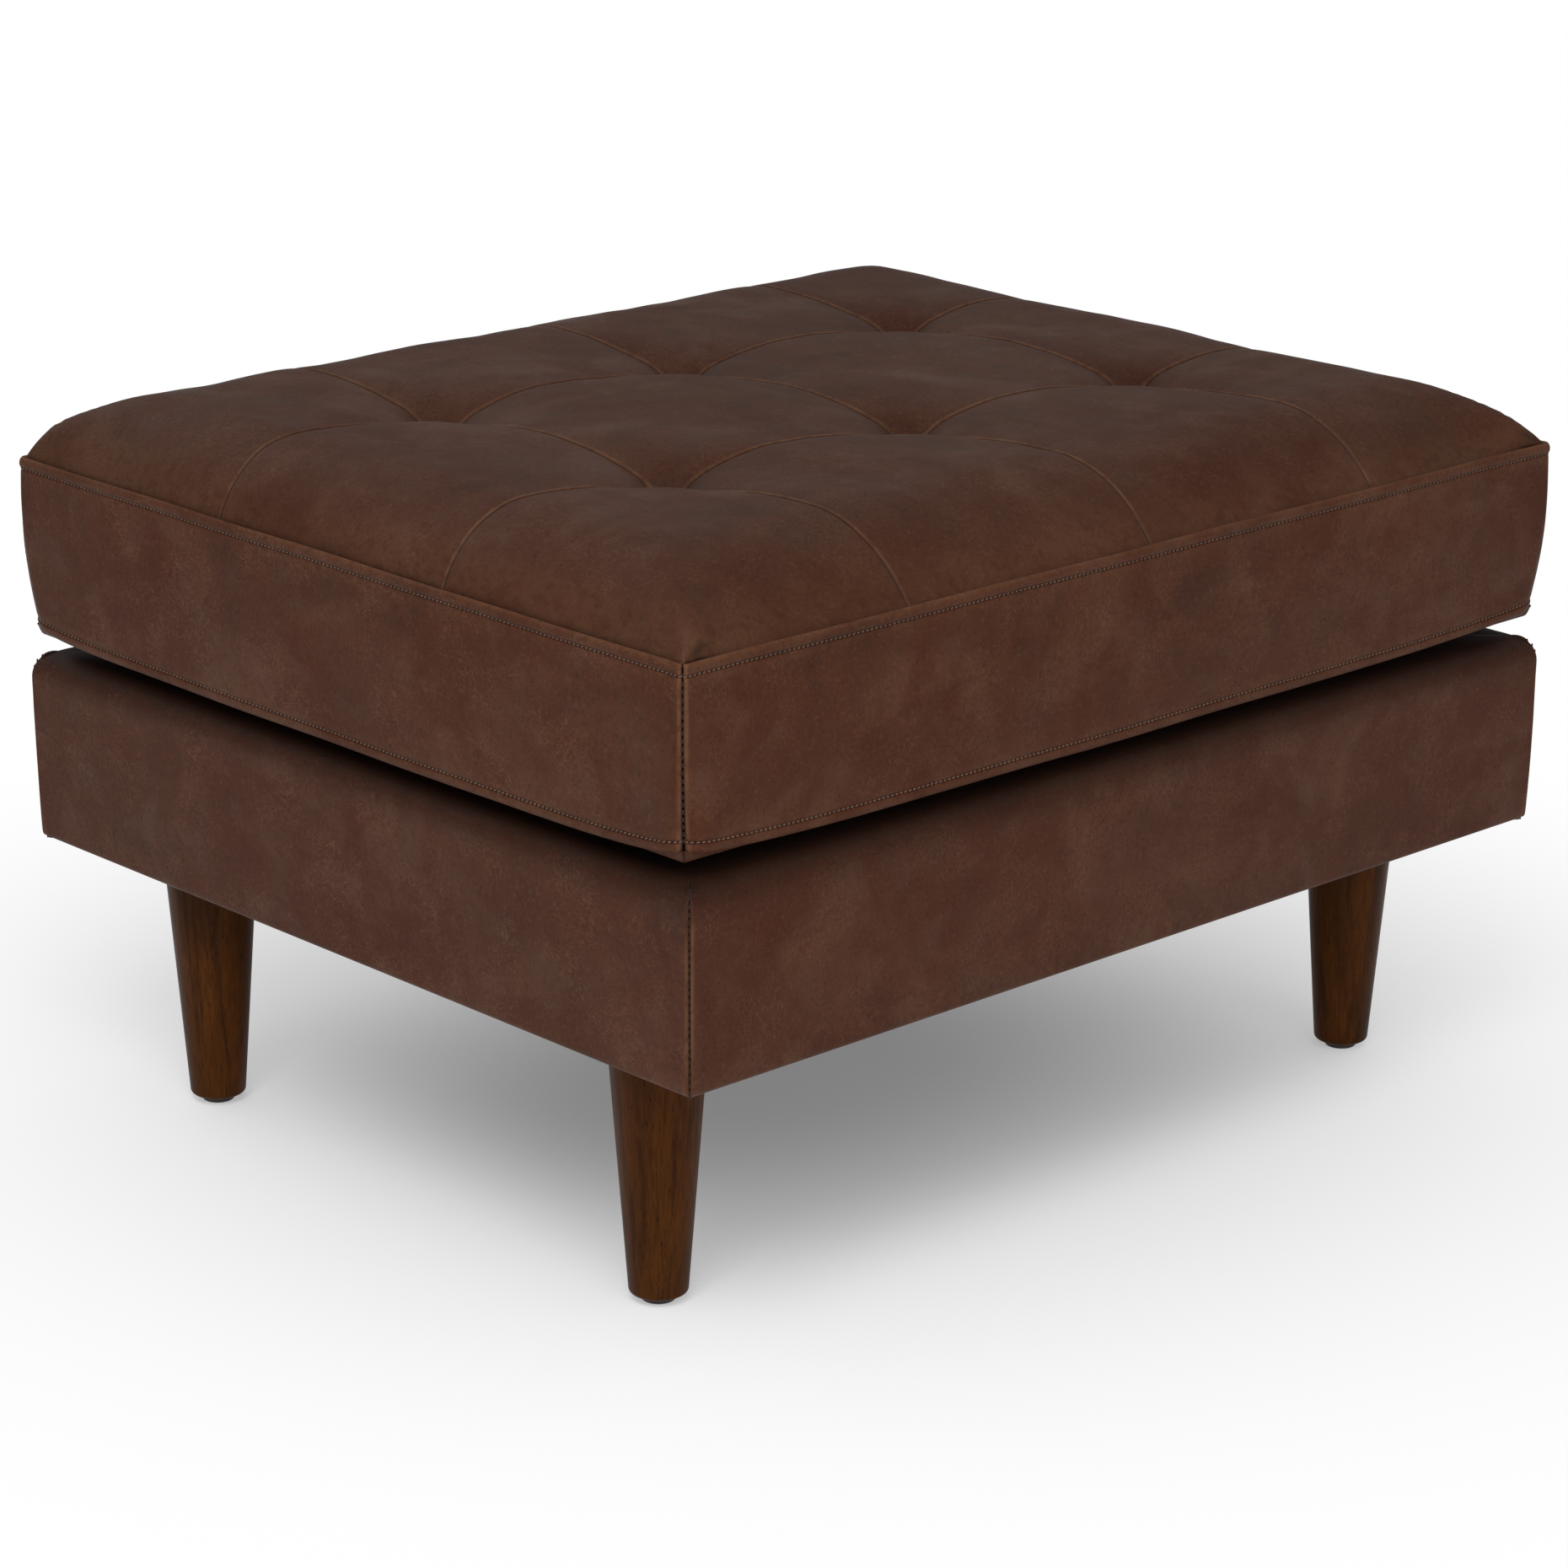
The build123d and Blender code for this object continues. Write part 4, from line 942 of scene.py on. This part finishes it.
def stitch_template(length, radius):
    """Vertices and faces of one lozenge-shaped stitch along X."""
    angles = np.arange(STITCH_SIDES) * 2 * pi / STITCH_SIDES
    points = [(at * length, radius * size * cos(a), radius * size * sin(a))
              for at, size in STITCH_RINGS for a in angles]
    rings = np.arange(len(points)).reshape(-1, STITCH_SIDES).tolist()
    faces = [tuple(rings[0][::-1]), tuple(rings[-1])]
    for ring, beyond in zip(rings, rings[1:]):
        for i in range(STITCH_SIDES):
            j = (i + 1) % STITCH_SIDES
            faces.append((ring[i], ring[j], beyond[j], beyond[i]))
    return np.array(points), faces


def stitch_places(line, steps):
    """Middle and heading of every stitch on a line."""
    targets = np.arange(int(round(steps[-1]))) + 0.5
    behind, middle, ahead = (
        np.stack([np.interp(targets + shift, steps, line[:, i]) for i in range(3)], axis=-1)
        for shift in (-0.25, 0.0, 0.25))
    return middle, ahead - behind


def stitch_row(name, lines, length, radius, slant=0.0):
    """One mesh of many stitches. Each line gives their places, headings and outward directions."""
    points, faces = stitch_template(length, radius)
    all_points, all_faces = [], []
    for place, along, out in zip(*(np.concatenate(part) for part in zip(*lines))):
        out = Vector(out).normalized()
        along = (Vector(along) - Vector(along).dot(out) * out).normalized()
        heading = along * cos(slant) + out.cross(along) * sin(slant)
        axes = np.array([heading, out.cross(heading), out])
        start = len(all_points) * len(points)
        all_points.append(points @ axes + place)
        all_faces += [tuple(i + start for i in face) for face in faces]
    mesh = bpy.data.meshes.new(name)
    mesh.from_pydata(np.concatenate(all_points).tolist(), [], all_faces)
    mesh.shade_smooth()
    return link_object(name, mesh)


def on_skin(name, places, outs):
    """Places moved onto a finished leather piece, along their outward directions."""
    skin = BVHTree.FromObject(bpy.data.objects[name], bpy.context.evaluated_depsgraph_get())
    moved = []
    for place, out in zip(places, outs):
        out = Vector(out).normalized()
        hit = skin.ray_cast(Vector(place) + 5 * MM * out, -out, 12 * MM)[0]
        moved.append(np.array(hit + SKIN_LIFT * out) if hit else place)
    return np.array(moved)


class OTTOMAN_OT_topstitching(bpy.types.Operator):
    """Rows of topstitching below and above the folds of the cushion's borders"""

    bl_idname = "ottoman.topstitching"
    bl_label = "Topstitching"

    def execute(self, context):
        sizes = context.scene.ottoman_cushion
        sewing = context.scene.ottoman_stitches
        tan = thread("topstitch thread", looks().thread, [1.35 * c for c in looks().thread])
        for number, label in enumerate(("upper", "lower")):
            lines = []
            for side in SIDES:
                line = border_mesh(sizes, side, topstitch_rows(sizes), BORDER_STEP)[0][number]
                at, heading = stitch_places(turned(line, side), stitch_steps(line, sewing.pitch))
                out = np.cross(heading, (0, 0, 1))
                lines.append((on_skin(f"cushion_border_leather_{side}", at, out), heading, out))
            piece = stitch_row(f"topstitch_{label}", lines, sewing.length, sewing.radius, STITCH_SLANT)
            dress(piece, "cushion", tan)
        return {"FINISHED"}


class OTTOMAN_OT_corner_stitching(bpy.types.Operator):
    """Dark stitches in the upright corner seams of the cushion and the base"""

    bl_idname = "ottoman.corner_stitching"
    bl_label = "Corner stitching"

    def execute(self, context):
        sewing = context.scene.ottoman_stitches
        cushion = context.scene.ottoman_cushion
        base = context.scene.ottoman_base
        dark = thread("corner thread", (0.010, 0.006, 0.004), (0.018, 0.010, 0.007))
        borders = [border_mesh(cushion, side, border_rows(cushion), COARSE_STEP)[0] for side in SIDES]
        covers = [base_mesh(base, side, COARSE_STEP)[0] for side in SIDES]
        for body, shapes, seam in (("cushion", borders, BORDER_SEAM), ("base", covers, BASE_SEAM)):
            lines = []
            for number, (side, shaped) in enumerate(zip(SIDES, shapes)):
                line = turned(shaped[:, -1], side)[seam]
                at, heading = stitch_places(line, stitch_steps(line, sewing.corner_pitch))
                angle = number * pi / 2 - pi / 4
                out = np.array([cos(angle), sin(angle), 0])
                lines.append((at + CORNER_OUT * out, heading, np.tile(out, (len(at), 1))))
            piece = stitch_row(f"corner_stitches_{body}", lines, sewing.corner_length, sewing.corner_radius)
            dress(piece, body, dark)
        return {"FINISHED"}


# The base

BASE_SEAM = slice(7, 30)  # rows of a base side that its corner stitches run over
BASE_STEP = 6 * MM
BASE_SEED = 60
BASE_RIPPLE, BASE_CRINKLE = 0.45 * MM, 0.10 * MM
BASE_TUCK = 0.5 * MM  # how far the stretched sides lie in at half height
BASE_DEPTH = 0.3 * MM  # how far the leather lies inside the CAD's face
UNDER_CUSHION_SHADE_FROM = 24 * MM  # below the deck, where the painted shadow under the cushion begins
UNDER_CUSHION_SHADE_RUN = 20 * MM


def base_rows(sizes):
    """Profile of a base side from the deck's lip over the round edge and down under the rail."""
    rows = [(-sizes.deck_lip, sizes.top - 0.2 * MM)]
    rows += [(-sizes.deck_lip * inset, sizes.top - 0.1 * MM) for inset in (0.75, 0.5, 0.33)]
    for angle in np.linspace(0, pi / 2, 9):
        rows.append((sizes.top_round * (sin(angle) - 1), sizes.top + sizes.top_round * (cos(angle) - 1)))
    start = sizes.top - sizes.top_round
    end = sizes.bottom + sizes.bottom_round
    crest = sizes.bottom + sizes.bulge
    for share in np.linspace(0, 1, 14)[1:]:
        height = start + (end - start) * share
        rows.append((-sizes.draw_in * ((height - crest) / (crest - end)) ** 2, height))
    for angle in np.linspace(0, pi / 2, 5)[1:]:
        inwards = sizes.draw_in + sizes.bottom_round * (1 - cos(angle))
        rows.append((-inwards, end - sizes.bottom_round * sin(angle)))
    for share in (0.4, 0.7, 1.0):
        rows.append((-sizes.under_fold * share - sizes.draw_in * (1 - share), sizes.bottom))
    return rows


def base_mesh(sizes, side, step):
    """Shaped grid of one side of the base, with its wear, and its painted shade in the corner grooves and in
    a band under the cushion.
    """
    half_long, half_deep = side_halves(sizes, side)
    rows = [(outward, height, sizes.corner_round) for outward, height in base_rows(sizes)]
    points, outs, places, corners = band_grid(half_long, half_deep, rows, step)
    height = points[..., 2]
    level = share_of((height - sizes.bottom) / (sizes.top - sizes.bottom))
    middle = np.sin(pi * level)
    seed = BASE_SEED + SIDES.index(side)
    mark, wear, crease = corner_marks(corners)
    upright = share_of((1 - level) * 8)
    push = BASE_RIPPLE * ripple(places, height, 0.14, seed) * middle - BASE_TUCK * middle
    push = push + BASE_CRINKLE * ripple(places, height, 0.03, seed + 5) * middle
    push = push + mark * upright - BASE_DEPTH
    shaped = points + outs * push[..., None]
    shaped[..., 2] -= 0.5 * MM * bell(corners, 1.2 * MM) * (1 - upright)
    # Painted shadow: the band under the cushion's overhang darkens towards near-black through the crease
    # value, and loses its wear there.
    under_cushion_shade = share_of((height - sizes.top + UNDER_CUSHION_SHADE_FROM) / UNDER_CUSHION_SHADE_RUN)
    return shaped, wear * (1 - under_cushion_shade), np.maximum(crease, 0.82 * under_cushion_shade ** 1.3)


class OTTOMAN_OT_base_covers(bpy.types.Operator):
    """Four leather sides of the base, sewn at the corners and turned over the deck"""

    bl_idname = "ottoman.base_covers"
    bl_label = "Base covers"

    def execute(self, context):
        sizes = context.scene.ottoman_base
        for number, side in enumerate(SIDES):
            shaped, wear, crease = base_mesh(sizes, side, BASE_STEP)
            edge = 0.35 * bell(shaped[..., 2] - sizes.bottom, 1.6 * MM)
            values = {"wear": share_of(wear + edge), "crease": crease}
            piece = side_surface(f"base_leather_{side}", shaped, side, values)
            thicken(piece, sizes.leather)
            soften(piece)
            offset = (4.1 + 0.43 * number, 1.7 * number, 0.33 * number)
            dress(piece, "base", leather(f"base leather {side}", offset, 0.50),
                  (f"base_cover_{side}", f"base_padding_{side}"))
        return {"FINISHED"}


def cloth_sheet(name, low, high, sag, seed):
    """A thin level sheet that sags a little between its fixed edges."""
    x, y = np.meshgrid(np.linspace(low.x, high.x, 60), np.linspace(low.y, high.y, 50))
    share_x = np.sin(pi * (x - low.x) / (high.x - low.x))
    share_y = np.sin(pi * (y - low.y) / (high.y - low.y))
    z = high.z + sag * share_x * share_y * (1 + 0.15 * ripple(x, y, 0.1, seed))
    return surface(name, np.stack([x, y, z], axis=-1))


class OTTOMAN_OT_cloths(bpy.types.Operator):
    """Platform cloth on the deck and dust cover under the base"""

    bl_idname = "ottoman.cloths"
    bl_label = "Deck and dust cloths"

    def execute(self, context):
        low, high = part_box("platform_cloth")
        deck = cloth_sheet("deck_cloth", low, high, -0.8 * MM, 5)
        thicken(deck, 0.6 * MM)
        dress(deck, "base", cloth("deck weave", (0.035, 0.030, 0.028), 260.0),
              ("platform_cloth", "deck_foam"))
        low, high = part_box("dust_cover")
        under = cloth_sheet("dust_cloth", low, high, 0.0, 6)
        thicken(under, 0.5 * MM)
        dress(under, "base", cloth("spunbonded cloth", (0.022, 0.021, 0.021), 900.0, 1.2),
              ("dust_cover",))
        return {"FINISHED"}


# Legs

LEG_SEGMENTS = 72
GLIDE_SEGMENTS = 48
LEG_FOOT = 17.0 * MM
LEG_EDGE = 3.0 * MM
GLIDE_EDGE = 1.5 * MM
GLIDE_CHAMFER = 0.5 * MM


def foot_round(radius, low, edge, start):
    """Points of the rounded lower edge of a turned piece."""
    return [(radius - edge + edge * sin(a), low + edge * (1 - cos(a))) for a in np.linspace(start, pi / 2, 7)]


def lathe(name, low, high, profile, segments):
    """A turned piece in the middle of a box, from (radius, height) pairs, closed at both ends."""
    x, y = (low.x + high.x) / 2, (low.y + high.y) / 2
    angles = np.linspace(0, 2 * pi, segments + 1)
    rings = [[(x + r * cos(a), y + r * sin(a), z) for a in angles] for r, z in profile]
    piece = surface(name, np.array(rings))

    def close(work):
        bmesh.ops.remove_doubles(work, verts=work.verts, dist=0.01 * MM)
        bmesh.ops.recalc_face_normals(work, faces=work.faces)

    edit(piece.data, close)
    return piece


class OTTOMAN_OT_legs(bpy.types.Operator):
    """Four tapered round legs"""

    bl_idname = "ottoman.legs"
    bl_label = "Legs"

    def execute(self, context):
        top = (leg_high.x - leg_low.x) / 2
        for number, corner in enumerate(CORNERS):
            low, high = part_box(f"leg_{corner}")
            start = low.z + LEG_EDGE
            profile = [(0.0, low.z), (LEG_FOOT * 0.5, low.z), (LEG_FOOT - LEG_EDGE, low.z)]
            profile += foot_round(LEG_FOOT, low.z, LEG_EDGE, 0.2)
            profile += [(LEG_FOOT + (top - LEG_FOOT) * share, start + (high.z - start) * share)
                        for share in np.linspace(0, 1, 16)[1:]]
            profile += [(top * 0.5, high.z), (0.0, high.z)]
            piece = lathe(f"turned_leg_{corner}", low, high, profile, LEG_SEGMENTS)
            wood = stained_wood(f"stained wood {corner}", (0.31 * number, 0.17 * number, 0.0))
            dress(piece, "base", wood, (f"leg_{corner}",))
        return {"FINISHED"}


class OTTOMAN_OT_glides(bpy.types.Operator):
    """Dark plastic discs under the legs"""

    bl_idname = "ottoman.glides"
    bl_label = "Glides"

    def execute(self, context):
        dark = moulded("glide plastic", (0.020, 0.015, 0.012))
        for corner in CORNERS:
            low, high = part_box(f"foot_glide_{corner}")
            radius = (high.x - low.x) / 2
            profile = [(0.0, low.z), (radius * 0.6, low.z)] + foot_round(radius, low.z, GLIDE_EDGE, 0)
            profile += [(radius, high.z - GLIDE_CHAMFER), (radius - GLIDE_CHAMFER, high.z), (0.0, high.z)]
            piece = lathe(f"glide_disc_{corner}", low, high, profile, GLIDE_SEGMENTS)
            dress(piece, "base", dark, (f"foot_glide_{corner}",))
        return {"FINISHED"}


# Kept frame nodes

class OTTOMAN_OT_zip(bpy.types.Operator):
    """Finishes for the zip under the cushion"""

    bl_idname = "ottoman.zip"
    bl_label = "Zip"

    def execute(self, context):
        paint(["zip_tapes"], cloth("zip tape weave", (0.05, 0.034, 0.028), 900.0))
        paint(["zip_coils"], moulded("zip coil plastic", (0.045, 0.032, 0.026)))
        paint(["zip_stops", "zip_slider", "zip_pull"], metal("zip metal", (0.30, 0.22, 0.13), 0.32))
        return {"FINISHED"}


class OTTOMAN_OT_hidden_parts(bpy.types.Operator):
    """Finishes for the frame, webbing and fasteners inside"""

    bl_idname = "ottoman.hidden_parts"
    bl_label = "Hidden parts"

    def execute(self, context):
        rail = (0.60, 0.42, 0.25)
        paint(["rail_front", "rail_back"], plain_wood("rail wood lengthwise", rail, 0))
        paint(["rail_left", "rail_right", "cross_rail"], plain_wood("rail wood crosswise", rail, 1))
        paint([f"corner_post_{corner}" for corner in CORNERS], plain_wood("post wood", (0.62, 0.45, 0.28), 2))
        paint([f"leg_block_{corner}" for corner in CORNERS], plain_wood("plywood", (0.52, 0.37, 0.22), 0))
        paint(["webbing_lengthwise", "webbing_crosswise"], cloth("webbing weave", (0.14, 0.13, 0.12), 500.0))
        paint(["hessian"], cloth("hessian weave", (0.42, 0.32, 0.19), 220.0))
        paint(["tufting_twine"], cloth("twine", (0.62, 0.55, 0.42), 900.0))
        paint(["tuft_anchors"], moulded("anchor plastic", (0.10, 0.10, 0.10)))
        steel = ["frame_screws", "webbing_staples", "dust_cover_staples", "hanger_bolts", "bolt_nuts",
                 "bolt_washers", "glide_nails"]
        paint(steel, metal("zinc plated steel", (0.55, 0.55, 0.56), 0.30))
        return {"FINISHED"}


# The stage

FLOOR_HALF = 9.0
CAMERA_PLACE = (-1.9015, -2.0166, 1.0872)
CAMERA_TURN = (43.24, 17.96, 0.28)  # yaw, downward pitch and roll in degrees
CAMERA_LENS = 108.72
LIGHTS = (
    # name, place, target, size, power
    ("key", (-1.65, -1.20, 2.20), (-0.05, 0, 0.3), (1.3, 1.3), 40),
    ("back", (-0.3, 2.8, 1.9), (-0.1, 0, 0.35), (2.2, 1.2), 7),
    ("fill", (-1.0, -2.6, 1.7), (-0.2, 0, 0.25), (1.6, 1.2), 14),
)


def area_light(name, place, target, size, power):
    """A soft rectangular lamp that faces its target."""
    lamp = bpy.data.lights.new(name, "AREA")
    lamp.shape = "RECTANGLE"
    lamp.size, lamp.size_y = size
    lamp.energy = power
    holder = link_object(name, lamp)
    holder.location = place
    holder.rotation_mode = "QUATERNION"
    holder.rotation_quaternion = (Vector(target) - Vector(place)).to_track_quat("-Z", "Y")


def white_for_camera(material, tree, shader, mask):
    """Shows plain white to the camera and to reflections, and the lit surface elsewhere."""
    path = tree.add("ShaderNodeLightPath").outputs
    mirrored = tree.highest(path["Is Glossy Ray"], path["Is Transmission Ray"])
    share = tree.times(tree.highest(path["Is Camera Ray"], mirrored), mask)
    glow = tree.add("ShaderNodeEmission", Color=WHITE, Strength=1.0)
    both = tree.add("ShaderNodeMixShader", Fac=share, _1=shader.outputs[0], _2=glow.outputs[0])
    tree.feed(material.node_tree.nodes["Material Output"].inputs["Surface"], both.outputs[0])


def pale_floor():
    """A floor that is white away from the object and takes its shadow near it, lightened there by a faint
    white glow.
    """
    edge = (-FLOOR_HALF, FLOOR_HALF)
    floor = surface("floor", np.array([[(x, y, 0.0) for x in edge] for y in edge]))
    material, tree, shader, place = new_material("pale floor", Roughness=0.65, Specular_IOR_Level=0.2,
                                                 Base_Color=(0.93, 0.93, 0.94, 1.0))
    away = tree.add("ShaderNodeVectorMath", {"operation": "LENGTH"}, _0=place).outputs["Value"]
    # Painted light: the floor glows white for the camera by 0.15 even beside the object, lightening its
    # shadow, and wholly from 0.88 m away.
    white_for_camera(material, tree, shader, tree.scaled(tree.ramp(away, 0.06, 0.88), 0.85, 0.15))
    set_material(floor.data, material)
    return floor


def studio_world():
    """A sky that is brighter overhead, and plain white to the camera."""
    world = bpy.data.worlds.new("studio")
    world.use_nodes = True
    tree = Tree(world.node_tree)
    background = world.node_tree.nodes["Background"]
    background.inputs["Color"].default_value = WHITE
    direction = tree.add("ShaderNodeTexCoord").outputs["Generated"]
    height = tree.add("ShaderNodeSeparateXYZ", _0=direction).outputs["Z"]
    sky = tree.scaled(tree.highest(height, 0.0), 0.56, 0.15)
    seen = tree.add("ShaderNodeLightPath").outputs["Is Camera Ray"]
    strength = tree.add("ShaderNodeMix", {"data_type": "FLOAT"}, _0=seen, _2=sky, _3=1.0)
    tree.feed(background.inputs["Strength"], strength.outputs[0])
    return world


def photo_camera():
    """The camera that matches the photo."""
    camera = bpy.data.cameras.new("camera")
    camera.sensor_width = 36.0
    camera.lens = CAMERA_LENS
    camera.clip_end = 60.0
    holder = link_object("camera", camera)
    yaw, pitch, roll = (radians(angle) for angle in CAMERA_TURN)
    ahead = Vector((sin(yaw) * cos(pitch), cos(yaw) * cos(pitch), -sin(pitch)))
    right = Vector((cos(yaw), -sin(yaw), 0.0))
    up = right.cross(ahead)
    rolled_right = right * cos(roll) + up * sin(roll)
    rolled_up = up * cos(roll) - right * sin(roll)
    rows = zip(rolled_right, rolled_up, -ahead, CAMERA_PLACE)
    holder.matrix_world = Matrix((*rows, (0, 0, 0, 1)))
    return holder


class OTTOMAN_OT_stage(bpy.types.Operator):
    """Pale floor, soft studio light and the camera"""

    bl_idname = "ottoman.stage"
    bl_label = "Stage"

    def execute(self, context):
        floor = pale_floor()
        context.scene.world = studio_world()
        for light in LIGHTS:
            area_light(*light)
        context.scene.camera = photo_camera()
        context.scene.view_settings.view_transform = "Standard"
        return {"FINISHED"}


OPERATORS = (
    OTTOMAN_OT_cushion_top,
    OTTOMAN_OT_cushion_borders,
    OTTOMAN_OT_cushion_underside,
    OTTOMAN_OT_topstitching,
    OTTOMAN_OT_base_covers,
    OTTOMAN_OT_corner_stitching,
    OTTOMAN_OT_cloths,
    OTTOMAN_OT_legs,
    OTTOMAN_OT_glides,
    OTTOMAN_OT_zip,
    OTTOMAN_OT_hidden_parts,
    OTTOMAN_OT_stage,
)


class OTTOMAN_PT_panel(bpy.types.Panel):
    """Lists the sizes, the colours and every piece."""

    bl_idname = "OTTOMAN_PT_panel"
    bl_label = "Tufted leather ottoman"
    bl_space_type = "VIEW_3D"
    bl_region_type = "UI"
    bl_category = "Ottoman"

    def draw(self, context):
        for name, group in GROUPS:
            box = self.layout.box()
            for field in group.__annotations__:
                box.prop(getattr(context.scene, name), field)
        for operator in OPERATORS:
            self.layout.operator(operator.bl_idname)


def register():
    """Adds the sizes, operators and panel."""
    for name, group in GROUPS:
        bpy.utils.register_class(group)
        setattr(bpy.types.Scene, name, bpy.props.PointerProperty(type=group))
    for operator in OPERATORS:
        bpy.utils.register_class(operator)
    bpy.utils.register_class(OTTOMAN_PT_panel)


def unregister():
    """Takes them away again."""
    bpy.utils.unregister_class(OTTOMAN_PT_panel)
    for operator in reversed(OPERATORS):
        bpy.utils.unregister_class(operator)
    for name, group in reversed(GROUPS):
        delattr(bpy.types.Scene, name)
        bpy.utils.unregister_class(group)


def main():
    """Builds every piece in order."""
    register()
    make_groups()
    for operator in OPERATORS:
        group, name = operator.bl_idname.split(".")
        getattr(getattr(bpy.ops, group), name)()


if __name__ == "__main__":
    main()
